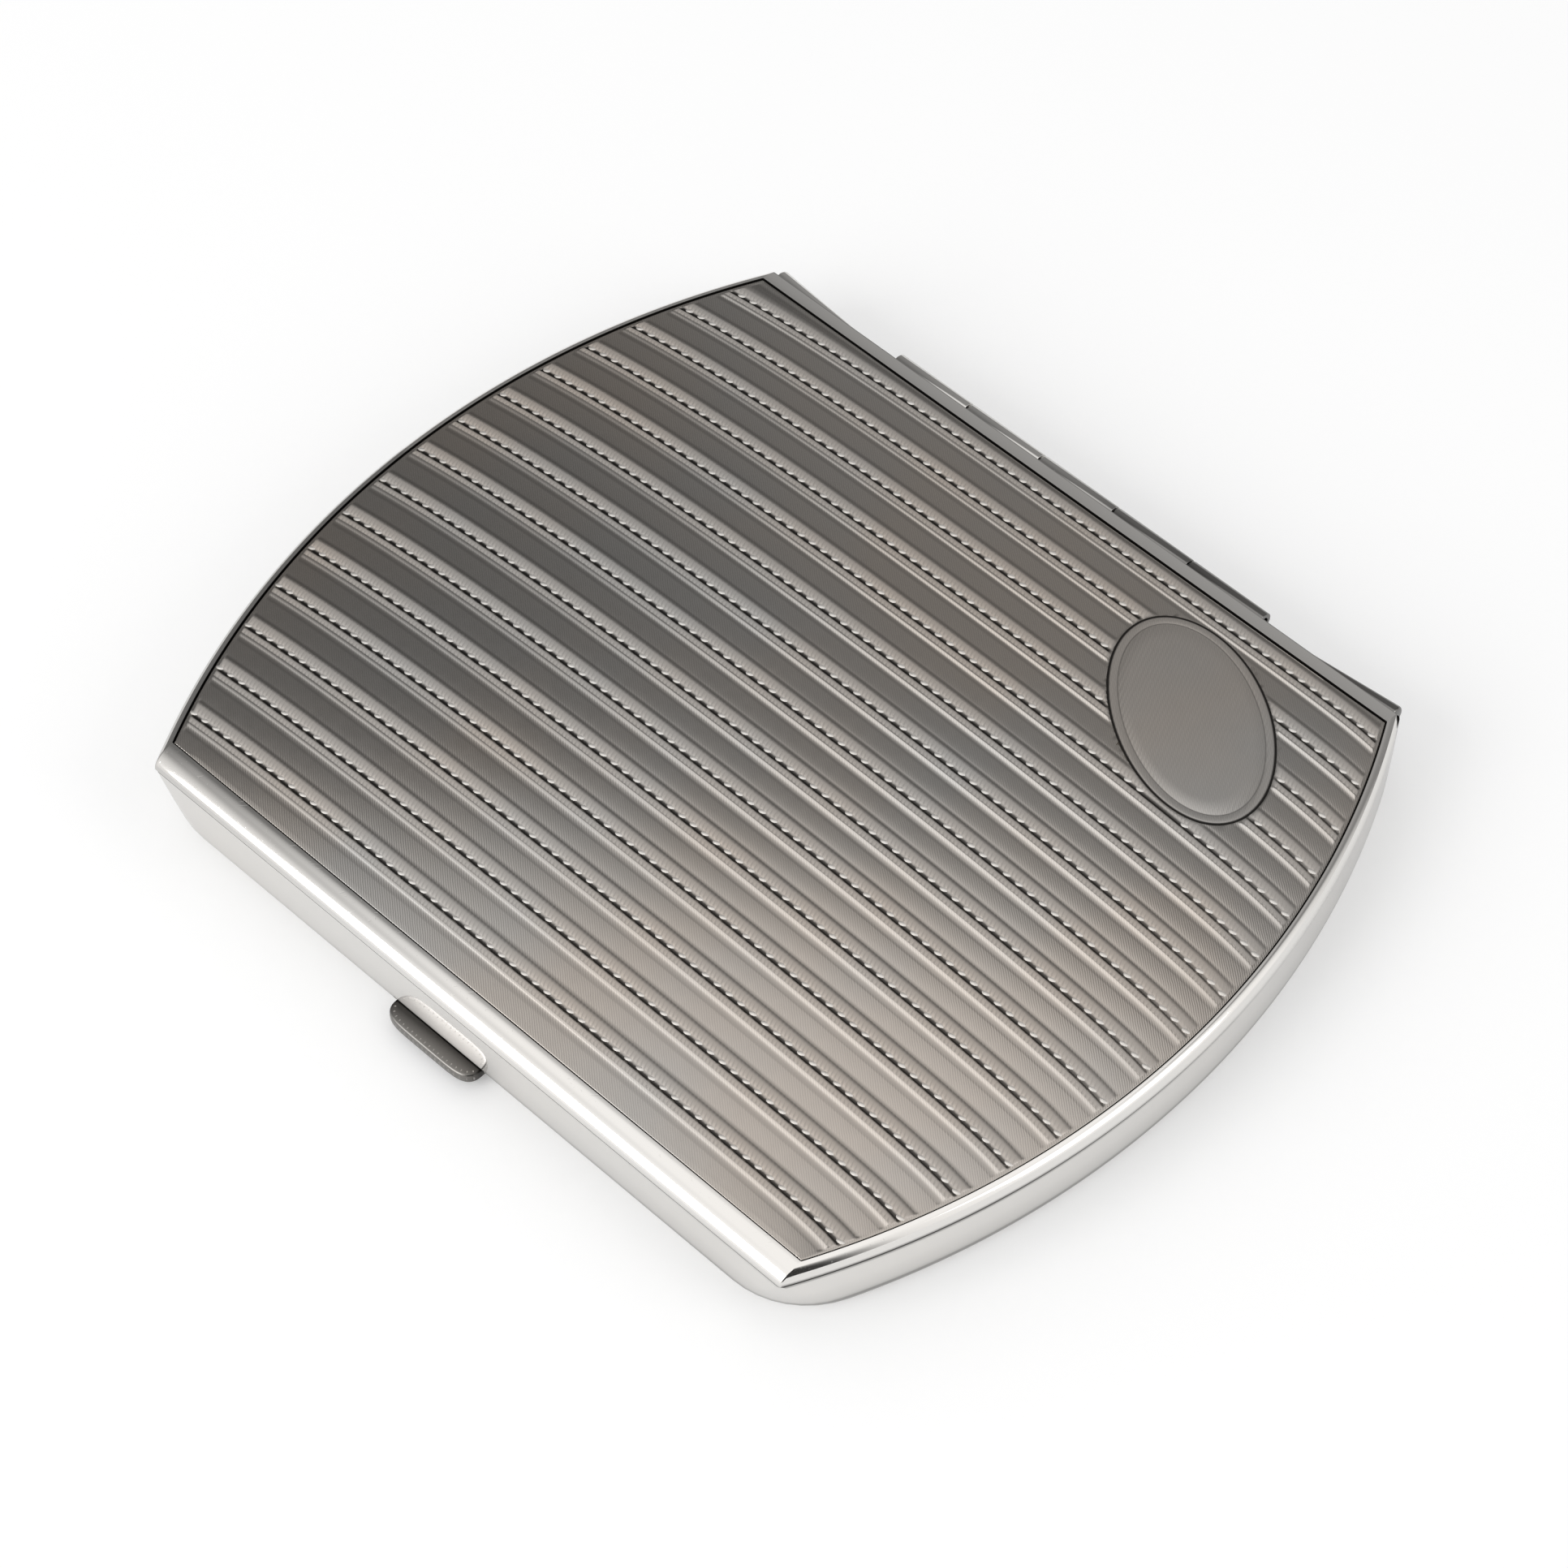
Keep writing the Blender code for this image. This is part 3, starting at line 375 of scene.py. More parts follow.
@dataclass(frozen=True)
class TurnedSilver:
    """Engine-turned silver: satin plain bands, hatched strips, dark cuts, and painted shade along the plate's
    edges.

    The attribute "hatch" is 1 in a hatched strip; below 0 the ridge is polished, and painted brighter with
    the strips' paler colour as a highlight.
    """

    name: str = "engine_turned_silver"
    colour: Colour = (0.515, 0.495, 0.47)
    strip_colour: Colour = (0.78, 0.755, 0.725)
    roughness: float = 0.19
    strip_roughness: float = 0.70
    hatch_pitch: float = 0.4 * MM
    grain_pitch: float = 0.3 * MM
    depth: float = 0.018 * MM

    def build(self, effects: Effects) -> bpy.types.Material:
        """Make the material.

        Args:
            effects: The shared effects.

        Returns:
            The material.
        """
        made = Material(self.name)
        strip = made.attribute("hatch")
        # Painted highlight: a polished ridge (hatch below 0) takes the strips' paler colour while keeping the
        # plain bands' gloss.
        bright_share = made.math("ABSOLUTE", strip)
        hatch_share = made.math("MAXIMUM", strip, 0.0)
        hatch = made.grain(effects, self.hatch_pitch, 0.4, 0.5)
        grain = made.grain(effects, self.grain_pitch, 1.2, 0.8)
        colour = made.mix(bright_share, (*self.colour, 1.0), (*self.strip_colour, 1.0))
        pits = made.math("MULTIPLY", made.math("SUBTRACT", 1.0, hatch["Height"]), hatch_share)
        pits = made.math("MULTIPLY", pits, 0.28)
        cut = made.math("MAXIMUM", pits, made.math("MULTIPLY", grain["Height"], 0.14))
        toned = made.tone(effects, colour, made.math("MAXIMUM", made.attribute("cut"), cut), 0.95, 0.9)
        spread = self.strip_roughness - self.roughness
        rough = made.math("MULTIPLY_ADD", hatch_share, spread, self.roughness)
        rough = made.math("MULTIPLY_ADD", grain["Uneven"], 0.06, rough)
        plain_share = made.math("SUBTRACT", 1.0, bright_share)
        fine = made.math("MULTIPLY", made.math("MULTIPLY", grain["Height"], plain_share), 0.2)
        height = made.math("ADD", made.math("MULTIPLY", hatch["Height"], hatch_share), fine)
        return made.finish(toned, rough, height, self.depth)


@dataclass(frozen=True)
class SatinMetal:
    """Brushed or ground metal: the gilding inside, the spring, the thumb-piece, and the near-black coat of
    the seams and grooves, which is painted shade.

    If "mirrored" is set, glossy rays see the metal in that colour: a painted reflection, so that other
    polished pieces mirror it in that colour and not in its own.
    """

    name: str
    colour: Colour
    roughness: float
    pitch: float = 0.09 * MM
    slant: float = 0.15
    depth: float = 0.0016 * MM
    mirrored: Optional[Colour] = None

    def build(self, effects: Effects) -> bpy.types.Material:
        """Make the material.

        Args:
            effects: The shared effects.

        Returns:
            The material.
        """
        made = Material(self.name)
        marks = made.place(effects.handling)
        cut = made.math("MAXIMUM", made.attribute("cut"), made.math("MULTIPLY", marks["Scratch"], 0.12))
        colour = made.tone(effects, self.colour, cut, 0.95, 0.35)
        if self.mirrored:
            # Painted reflection: glossy rays see the mirrored colour in place of the metal's own.
            colour = made.mix(made.rays("Is Glossy Ray"), colour, (*self.mirrored, 1.0))
        rough = made.math("MULTIPLY_ADD", marks["Smudge"], 0.12, self.roughness - 0.04)
        grain = made.grain(effects, self.pitch, self.slant, 1.2)
        return made.finish(colour, rough, grain["Height"], self.depth)


@dataclass(frozen=True)
class WovenElastic:
    """Ribbed elastic tape or its thread, woven of picks across it and ends along it."""

    name: str
    colour: Colour
    pick_pitch: float = 0.32 * MM
    end_pitch: float = 0.25 * MM
    depth: float = 0.05 * MM

    def build(self, effects: Effects) -> bpy.types.Material:
        """Make the material.

        Args:
            effects: The shared effects.

        Returns:
            The material.
        """
        made = Material(self.name, metallic=0.0)
        along, across = made.attribute("along"), made.attribute("across")
        surface, swapped = made.xyz(along, across), made.xyz(across, along)
        picks = made.grain(effects, self.pick_pitch, 0.4, 0.25, Vector=surface)
        ends = made.grain(effects, self.end_pitch, 0.0, 0.25, Vector=swapped)
        weave = made.math("MULTIPLY", picks["Height"], ends["Height"])
        hollow = made.math("MULTIPLY_ADD", weave, -0.6, 0.6)
        toned = made.tone(effects, self.colour, hollow, 0.8, 0.5, Vector=surface)
        made.shader["Sheen Weight"].default_value = 0.25
        return made.finish(toned, made.math("MULTIPLY_ADD", weave, -0.15, 0.9), weave, self.depth)


class Finishes:
    """Every finish of the case, built once."""

    def __init__(self) -> None:
        """Build the shared effects and the materials."""
        effects = Effects()
        # Painted reflection: the pale colour in which the polished wall mirrors the dark thumb-piece and its
        # ribs.
        mirrored = (0.60, 0.59, 0.58)
        self.silver = PolishedSilver().build(effects)
        self.turned = TurnedSilver().build(effects)
        self.gilt = SatinMetal("gilt_silver", (0.80, 0.60, 0.30), 0.24).build(effects)
        # Painted shade: near-black coat on the faces in the seam and the plate's groove, where shade falls.
        self.seam = SatinMetal("painted_gap_shade", (0.06, 0.057, 0.054), 0.5).build(effects)
        self.beads = SatinMetal("bead_silver", (0.84, 0.82, 0.79), 0.5).build(effects)
        self.grip = SatinMetal("toned_grip", (0.32, 0.31, 0.295), 0.30, mirrored=mirrored).build(effects)
        self.ribs = SatinMetal("worn_ribs", (0.36, 0.35, 0.335), 0.3, mirrored=mirrored).build(effects)
        self.steel = SatinMetal("spring_steel", (0.46, 0.47, 0.49), 0.27, 0.12 * MM, 0.0).build(effects)
        self.elastic = WovenElastic("elastic_tape", (0.050, 0.045, 0.040)).build(effects)
        self.thread = WovenElastic("stitching_thread", (0.16, 0.145, 0.12)).build(effects)


def link(name: str, data: bpy.types.ID) -> bpy.types.Object:
    """Put an object with its data into the scene."""
    made = bpy.data.objects.new(name, data)
    bpy.context.scene.collection.objects.link(made)
    return made


def plain_mesh(
    name: str, points: Iterable[Point], edges: Iterable = (), faces: Iterable[Face] = ()
) -> bpy.types.Mesh:
    """Mesh of some points, edges and faces."""
    mesh = bpy.data.meshes.new(name)
    mesh.from_pydata([tuple(point) for point in points], list(edges), list(faces))
    return mesh


def loft(rings: Sequence[Sequence[Point]], closed: bool = False) -> tuple[list[Point], list[Face]]:
    """Join rings of points by faces.

    Args:
        rings: Rings with equally many points.
        closed: Whether the last ring joins the first one; otherwise both get a cap.

    Returns:
        The points and the faces.
    """
    count, steps = len(rings[0]), len(rings) if closed else len(rings) - 1
    points = [point for ring in rings for point in ring]
    faces: list[Face] = []
    for k in range(steps):
        here, there = k * count, (k + 1) % len(rings) * count
        for i in range(count):
            j = (i + 1) % count
            faces.append((here + i, here + j, there + j, there + i))
    if not closed:
        faces += [tuple(range(count)), tuple(range(steps * count, len(points)))]
    return points, faces


def make_piece(
    name: str,
    points: Sequence[Point],
    faces: Sequence[Face],
    materials: Sequence[bpy.types.Material],
    coats: Optional[Sequence[int]] = None,
) -> bpy.types.Object:
    """Make a closed piece whose faces point out.

    Args:
        name: Name of the piece.
        points: Its corners, in the row frame.
        faces: Corner numbers of each face.
        materials: Its materials.
        coats: Which of the materials each face has.

    Returns:
        The piece.
    """
    mesh = plain_mesh(name, points, faces=faces)
    for material in materials:
        mesh.materials.append(material)
    if coats is not None:
        mesh.polygons.foreach_set("material_index", list(coats))
    work = bmesh.new()
    work.from_mesh(mesh)
    bmesh.ops.recalc_face_normals(work, faces=work.faces)
    work.to_mesh(mesh)
    work.free()
    return soften(link(name, mesh))


def soften(piece: bpy.types.Object, angle: float = SMOOTH_ANGLE) -> bpy.types.Object:
    """Shade a piece smoothly, except over its sharp edges."""
    piece.data.shade_smooth()
    piece.data.set_sharp_from_angle(angle=angle)
    return piece


def corners_of(piece: bpy.types.Object) -> np.ndarray:
    """Points of a piece that hasn't been seated yet, in the row frame."""
    return np.array([vertex.co for vertex in piece.data.vertices])


def mark(piece: bpy.types.Object, name: str, values: Any) -> None:
    """Store a value on each point of a piece, or the same value on all of them."""
    store = piece.data.attributes.new(name, "FLOAT", "POINT")
    spread = np.zeros(len(store.data), np.float32) + np.asarray(values, np.float32)
    store.data.foreach_set("value", spread)


def settle(piece: bpy.types.Object, angle: float = SMOOTH_ANGLE) -> bpy.types.Object:
    """Turn a piece with modifiers into a plain mesh.

    Args:
        piece: The piece.
        angle: Angle from which its edges are sharp.

    Returns:
        A plain piece of the same name.
    """
    name, old = piece.name, piece.data
    mesh = bpy.data.meshes.new_from_object(piece.evaluated_get(bpy.context.evaluated_depsgraph_get()))
    bpy.data.objects.remove(piece)
    bpy.data.meshes.remove(old)
    mesh.name = name
    return soften(link(name, mesh), angle)


def round_edges(piece: bpy.types.Object, width: float, segments: int) -> bpy.types.Modifier:
    """Give a piece a modifier that rounds its edges."""
    rounding = piece.modifiers.new("edges", "BEVEL")
    rounding.width, rounding.segments = width, segments
    return rounding


def seat(piece: bpy.types.Object, body: Body, slot: Slot, *nodes: str) -> bpy.types.Object:
    """Let a piece ride on its body and stand for its CAD nodes.

    Args:
        piece: The finished piece.
        body: The body that it moves with.
        slot: The record's material slot for its finish; not used.
        nodes: CAD nodes that it stands for.

    Returns:
        The piece.
    """
    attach(piece, body.value)
    if nodes:
        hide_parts(*nodes)
    count = sum(len(face.vertices) - 2 for face in piece.data.polygons)
    LOG.info("%s: %d triangles on %s", piece.name, count, body.value)
    return piece


def turned_piece(
    name: str,
    profile: Profile,
    centre: Sequence[float],
    axis: str,
    material: bpy.types.Material,
    parts: int = 48,
) -> bpy.types.Object:
    """Make a piece as a lathe does, about a line along X or Y.

    Args:
        name: Name of the piece.
        profile: Place along the axis and radius, from one end to the other.
        centre: Point that the places are measured from.
        axis: "X" or "Y".
        material: Its material.
        parts: How many sides it has.

    Returns:
        The piece.
    """
    rings = []
    for along, radius in profile:
        turns = [2 * pi * i / parts for i in range(parts)]
        offsets = [(along, radius * cos(turn), radius * sin(turn)) for turn in turns]
        if axis == "Y":
            offsets = [(a, along, b) for along, a, b in offsets]
        rings.append([tuple(c + o for c, o in zip(centre, offset)) for offset in offsets])
    return make_piece(name, *loft(rings), [material])


def domed_rod(start: float, end: float, radius: float, dome: float) -> Profile:
    """Profile of a rod with rounded ends.

    Args:
        start: Where it starts.
        end: Where it ends.
        radius: Its radius.
        dome: How far the rounding reaches.

    Returns:
        Places and radii for turned_piece.
    """
    steps = [pi / 2 * i / 4 for i in range(5)]
    near = [(start + dome * (1 - sin(t)), radius - dome * (1 - cos(t))) for t in reversed(steps)]
    return near + [(end - dome * (1 - sin(t)), radius - dome * (1 - cos(t))) for t in steps]


def refined(
    node: str, name: str, material: bpy.types.Material, edge: float, stations: Sequence[float] = ()
) -> bpy.types.Object:
    """Copy a CAD node's shape with rounded edges.

    Args:
        node: The CAD node.
        name: Name of the piece.
        material: Its material.
        edge: Width of the rounded edges.
        stations: Places along X where the piece gets a ring of points.

    Returns:
        The piece.
    """
    mesh = frame["nodes"][node].data.copy()
    mesh.name = name
    work = bmesh.new()
    work.from_mesh(mesh)
    bmesh.ops.remove_doubles(work, verts=work.verts, dist=1e-6)
    bmesh.ops.dissolve_limit(work, angle_limit=radians(1.5), verts=work.verts, edges=work.edges)
    for x in stations:
        everything = list(work.verts) + list(work.edges) + list(work.faces)
        bmesh.ops.bisect_plane(work, geom=everything, plane_co=(x, 0, 0), plane_no=(1, 0, 0))
    bmesh.ops.recalc_face_normals(work, faces=work.faces)
    work.to_mesh(mesh)
    work.free()
    mesh.materials.clear()
    mesh.materials.append(material)
    piece = link(name, mesh)
    rounding = round_edges(piece, edge, 2)
    rounding.limit_method, rounding.angle_limit = "ANGLE", radians(40)
    return settle(piece, radians(50))


def box_piece(name: str, low: Point, high: Point, *materials: bpy.types.Material) -> bpy.types.Object:
    """Box between two corners."""
    corners = [(low[1], low[2]), (high[1], low[2]), (high[1], high[2]), (low[1], high[2])]
    rings = [[(x, y, z) for y, z in corners] for x in (low[0], high[0])]
    return make_piece(name, *loft(rings), materials)


def cut_out(piece: bpy.types.Object, *tools: bpy.types.Object) -> bpy.types.Object:
    """Cut closed tools out of a piece and remove them.

    Args:
        piece: The piece.
        tools: Closed meshes to cut out.

    Returns:
        The cut piece.
    """
    for tool in tools:
        step = piece.modifiers.new(tool.name, "BOOLEAN")
        step.operation, step.solver, step.object = "DIFFERENCE", "EXACT", tool
    made = settle(piece)
    for tool in tools:
        bpy.data.objects.remove(tool)
    return made


class GrowingTree(Group):
    """Geometry Nodes tree with named inputs that ends in plain geometry with a material."""

    def __init__(self, name: str, inputs: dict[str, Any]) -> None:
        """Make the tree and its sockets.

        Args:
            name: Name of the tree.
            inputs: Default values by input name.
        """
        sockets = {"Geometry": GEOMETRY, **inputs, "Material": MATERIAL}
        super().__init__(name, "GeometryNodeTree", sockets, {"Geometry": GEOMETRY})

    def curve(self) -> bpy.types.NodeSocket:
        """The lines that the tree is run on."""
        return self.put("GeometryNodeMeshToCurve", {0: self.given["Geometry"]}).outputs[0]

    def rounded(
        self, curve: bpy.types.NodeSocket, radius: Any, count: int, **more: Any
    ) -> bpy.types.NodeSocket:
        """A line with its corners rounded."""
        inputs = {"Curve": curve, "Count": count, "Radius": radius, **more}
        return self.put("GeometryNodeFilletCurve", inputs, mode="POLY").outputs[0]

    def circle(self, parts: int, radius: Any) -> bpy.types.NodeSocket:
        """A circle of some parts."""
        inputs = {"Resolution": parts, "Radius": radius}
        return self.put("GeometryNodeCurvePrimitiveCircle", inputs).outputs[0]

    def finish(self, geometry: bpy.types.NodeSocket) -> None:
        """End the tree in plain geometry with its material."""
        real = self.put("GeometryNodeRealizeInstances", {0: geometry}).outputs[0]
        coated = self.put("GeometryNodeSetMaterial", {"Geometry": real, "Material": self.given["Material"]})
        self.feed(self.result[0], coated.outputs[0])

    def grow(
        self, name: str, points: Sequence[Point], edges: Sequence[tuple[int, int]], values: dict[str, Any]
    ) -> bpy.types.Object:
        """Run the tree once on a few lines and keep what it makes as a plain piece.

        Args:
            name: Name of the piece.
            points: Points of the lines, in the row frame.
            edges: Which points are joined.
            values: Values by input name.

        Returns:
            The piece.
        """
        host = link(name, plain_mesh(name, points, edges))
        modifier = host.modifiers.new(self.data.name, "NODES")
        modifier.node_group = self.data
        for label, value in values.items():
            modifier[self.names[label]] = value
        return settle(host)


class StrungBalls(GrowingTree):
    """Stretched balls laid along a line: beads, ribs or stitches."""

    def __init__(self, name: str, segments: int, rings: int) -> None:
        """Build the tree: a ball on each step of the lines, turned along them and slanted.

        Args:
            name: Name of the tree.
            segments: Divisions round each ball.
            rings: Divisions of each ball from pole to pole.
        """
        sizes = {"Spacing": MM, "Half Length": MM, "Half Width": MM, "Half Height": MM, "Slant": 0.0}
        super().__init__(name, sizes)
        given = self.given
        step = {"Curve": self.curve(), "Length": given["Spacing"]}
        spaced = self.put("GeometryNodeResampleCurve", step, mode="LENGTH").outputs[0]
        ball = self.put("GeometryNodeMeshUVSphere", {"Segments": segments, "Rings": rings, "Radius": 1.0})
        tangent = self.put("GeometryNodeInputTangent").outputs[0]
        along = self.put("FunctionNodeAlignRotationToVector", {"Vector": tangent}, axis="X").outputs[0]
        lean = self.put("FunctionNodeEulerToRotation", {0: self.xyz(z=given["Slant"])}).outputs[0]
        slanted = self.put("FunctionNodeRotateRotation", {0: along, 1: lean}, rotation_space="LOCAL")
        inputs = {
            "Points": spaced,
            "Instance": ball.outputs["Mesh"],
            "Rotation": slanted.outputs[0],
            "Scale": self.xyz(given["Half Length"], given["Half Width"], given["Half Height"]),
        }
        self.finish(self.put("GeometryNodeInstanceOnPoints", inputs).outputs[0])


class Knuckles(GrowingTree):
    """Hinge knuckles in a row, each a short tube with broken edges."""

    def __init__(self) -> None:
        """Build the tree: a rounded section swept round a circle, repeated along the pin."""
        sizes = {"Outer Radius": MM, "Bore Radius": MM, "Length": MM, "Edge": 0.08 * MM, "Count": 2}
        super().__init__("hinge_knuckles", {**sizes, "Start": (0.0, 0.0, 0.0), "Step": (0.01, 0.0, 0.0)})
        given = self.given
        outer, bore = given["Outer Radius"], given["Bore Radius"]
        sides = {"Width": self.math("SUBTRACT", outer, bore), "Height": given["Length"]}
        section = self.put("GeometryNodeCurvePrimitiveQuadrilateral", sides).outputs[0]
        circle = self.circle(64, self.math("MULTIPLY", self.math("ADD", outer, bore), 0.5))
        sweep = {"Curve": circle, "Profile Curve": self.rounded(section, given["Edge"], 3)}
        swept = self.put("GeometryNodeCurveToMesh", sweep).outputs[0]
        laid = self.put("GeometryNodeTransform", {"Geometry": swept, "Rotation": (0.0, pi / 2, 0.0)})
        places = {"Count": given["Count"], "Start Location": given["Start"], "Offset": given["Step"]}
        row = self.put("GeometryNodeMeshLine", places, mode="OFFSET")
        placed = {"Points": row.outputs[0], "Instance": laid.outputs[0]}
        self.finish(self.put("GeometryNodeInstanceOnPoints", placed).outputs[0])


class BentWire(GrowingTree):
    """Round wire bent along a line with rounded corners."""

    def __init__(self) -> None:
        """Build the tree: a circle swept along the line."""
        super().__init__("bent_wire", {"Radius": 0.45 * MM, "Bend": 0.8 * MM})
        bent = self.rounded(self.curve(), self.given["Bend"], 8, **{"Limit Radius": True})
        sweep = {"Curve": bent, "Profile Curve": self.circle(20, self.given["Radius"]), "Fill Caps": True}
        self.finish(self.put("GeometryNodeCurveToMesh", sweep).outputs[0])


@dataclass(frozen=True)
class CasePlan:
    """Plan of the case: straight long sides and ends bowed outwards."""

    half_depth: float
    half_length: float
    end_bulge: float = 10.0 * MM
    arc_parts: int = 96
    corner_parts: int = 8
    side_parts: int = 24
    least_corner: float = 0.12 * MM

    @property
    def end_radius(self) -> float:
        """Radius of the bowed ends."""
        return (self.half_depth**2 + self.end_bulge**2) / (2 * self.end_bulge)

    @property
    def end_centre(self) -> float:
        """Place along X of the right arc's centre."""
        return self.half_length - self.end_radius

    def reach(self, y: Any, inset: float) -> Any:
        """Half the length at a distance from the middle line."""
        return self.end_centre + np.sqrt((self.end_radius - inset) ** 2 - np.square(y))

    def seam_shade(self, x: np.ndarray, y: np.ndarray) -> np.ndarray:
        """Painted shade on the seam's edges: most at the front of the right end.

        Args:
            x: Places along X.
            y: Places along Y.

        Returns:
            Painted shade at each place.
        """
        at_end = (x > self.half_length - self.end_bulge + 0.05 * MM) & (np.abs(y) < self.half_depth)
        at_front = 0.3 * np.clip(x / self.half_length, 0, 1) * (y < 0)
        return np.where(at_end, 0.85 * np.clip(0.45 - y / self.half_depth, 0.1, 1), at_front)

    def outline(self, side_inset: float, end_inset: float, corner_radius: float) -> list[tuple[float, float]]:
        """Points round the plan.

        Args:
            side_inset: Distance in from the long sides.
            end_inset: Distance in from the bowed ends.
            corner_radius: Radius of the corners.

        Returns:
            The points, counter-clockwise, starting at the front right corner.
        """
        radius = max(corner_radius, self.least_corner)
        arc = self.end_radius - end_inset
        fillet_y = self.half_depth - side_inset - radius
        fillet_x = self.end_centre + sqrt((arc - radius) ** 2 - fillet_y**2)
        sweep = atan2(fillet_y, fillet_x - self.end_centre)
        shares = [i / self.corner_parts for i in range(self.corner_parts + 1)]
        front = [-pi / 2 + (pi / 2 - sweep) * share for share in shares]
        back = [sweep + (pi / 2 - sweep) * share for share in shares]
        bow = [-sweep + 2 * sweep * i / self.arc_parts for i in range(1, self.arc_parts)]
        right = [(fillet_x + radius * cos(a), -fillet_y + radius * sin(a)) for a in front]
        right += [(self.end_centre + arc * cos(a), arc * sin(a)) for a in bow]
        right += [(fillet_x + radius * cos(a), fillet_y + radius * sin(a)) for a in back]
        steps = [1 - 2 * i / self.side_parts for i in range(1, self.side_parts)]
        side = [(fillet_x * step, fillet_y + radius) for step in steps]
        return right + side + [(-x, -y) for x, y in right + side]


@dataclass(frozen=True)
class Level:
    """One corner of a frame's cross-section.

    Attributes:
        side: Inset from the long sides.
        end: Inset from the bowed ends.
        rise: Height above the seam.
        corner: Radius of the plan's corners there.
        coat: Finish of the faces from here to the next level.
    """

    side: float
    end: float
    rise: float
    corner: float
    coat: Coat


def frame_ring(name: str, plan: CasePlan, levels: Sequence[Level], finishes: Finishes) -> bpy.types.Object:
    """Loft a frame's cross-section round the plan.

    Args:
        name: Name of the piece.
        plan: Plan of the case.
        levels: Corners of the cross-section, all the way round it.
        finishes: The finishes.

    Returns:
        The piece.
    """
    outlines = [plan.outline(level.side, level.end, level.corner) for level in levels]
    rings = [[(x, y, SEAM_Z + level.rise) for x, y in outline] for level, outline in zip(levels, outlines)]
    coats = [int(level.coat) for level in levels for _ in outlines[0]]
    # Painted shade: faces with the SEAT coat, in the seam and the groove, take the near-black seam coat.
    return make_piece(name, *loft(rings, closed=True), [finishes.silver, finishes.seam, finishes.gilt], coats)


def hollow_shade(y: np.ndarray, z: np.ndarray, axis: Vector, radius: float) -> np.ndarray:
    """Painted shade in the round hollow about the hinge axis, and 0 elsewhere."""
    return 0.55 * (np.abs(np.hypot(y - axis.y, z - axis.z) - radius) < 0.02 * MM)


@dataclass
class LidFrame:
    """Polished frame of the lid, mitred at its corners.

    Attributes:
        edge_height: Height of the frame above the seam.
        side_roll: How far the long sides roll in.
        end_roll: How far the ends roll in.
        relief: Radius of the relief about the hinge pin.
        parts: Divisions of the roll.
    """

    plan: CasePlan
    finishes: Finishes
    edge_height: float = 1.5 * MM
    side_roll: float = 2.35 * MM
    end_roll: float = 1.0 * MM
    wall: float = 0.6 * MM
    ledge_top: float = 0.9 * MM
    ledge_bottom: float = 0.65 * MM
    ledge_width: float = 1.25 * MM
    edge_break: float = 0.08 * MM
    corner: float = 0.35 * MM
    relief: float = 1.3 * MM
    parts: int = 20

    def levels(self) -> list[Level]:
        """Corners of the cross-section.

        Returns:
            The corners, up the outside and down the inside.
        """
        low, soft, side, end = SEAM_HALF_GAP, self.edge_break, self.side_roll, self.end_roll
        made = [Level(soft, soft, low, self.corner, Coat.SEAT)]
        start = asin(soft / (self.edge_height - low))
        for i in range(self.parts):
            turn = start + (pi / 2 - start) * i / self.parts
            roll = (1 - cos(turn)) * (1 - soft / side)
            rise = low + (self.edge_height - low) * sin(turn)
            made.append(Level(side * roll, end * roll, rise, self.corner * (1 - roll), Coat.OUTSIDE))
        inner_side, inner_end = side + self.ledge_width, end + self.ledge_width
        made.append(Level(side, end, self.edge_height, 0.0, Coat.SEAT))
        made.append(Level(side, end, self.ledge_top, 0.0, Coat.SEAT))
        made.append(Level(inner_side, inner_end, self.ledge_top, 0.0, Coat.INSIDE))
        made.append(Level(inner_side, inner_end, self.ledge_bottom, 0.0, Coat.INSIDE))
        made.append(Level(self.wall + 0.25 * MM, self.wall + 0.1 * MM, self.ledge_bottom, 0.0, Coat.INSIDE))
        made.append(Level(self.wall, self.wall, low, 0.0, Coat.SEAT))
        return made

    def build(self, axis: Vector) -> None:
        """Make the frame.

        Args:
            axis: A point on the hinge axis.
        """
        ring = frame_ring("lid_frame_polished", self.plan, self.levels(), self.finishes)
        reach = self.plan.half_length + MM
        profile = [(-reach, self.relief), (reach, self.relief)]
        ring = cut_out(ring, turned_piece("hinge_relief", profile, axis, "X", self.finishes.silver, 64))
        x, y, z = corners_of(ring).T
        # Painted shade: the front of the frame darkens towards the left end, and the seam's edges and the
        # hollow about the hinge pin darken too.
        left = 0.3 * np.clip(-x / self.plan.half_length, 0, 1) * (y < 0)
        low = np.interp((z - SEAM_Z) / MM, (0.2, 0.42), (1.0, 0.0)) * self.plan.seam_shade(x, y)
        mark(ring, "cut", np.maximum(np.maximum(left, low), hollow_shade(y, z, axis, self.relief)))
        seat(ring, Body.LID, Slot.POLISHED, "lid_rim")


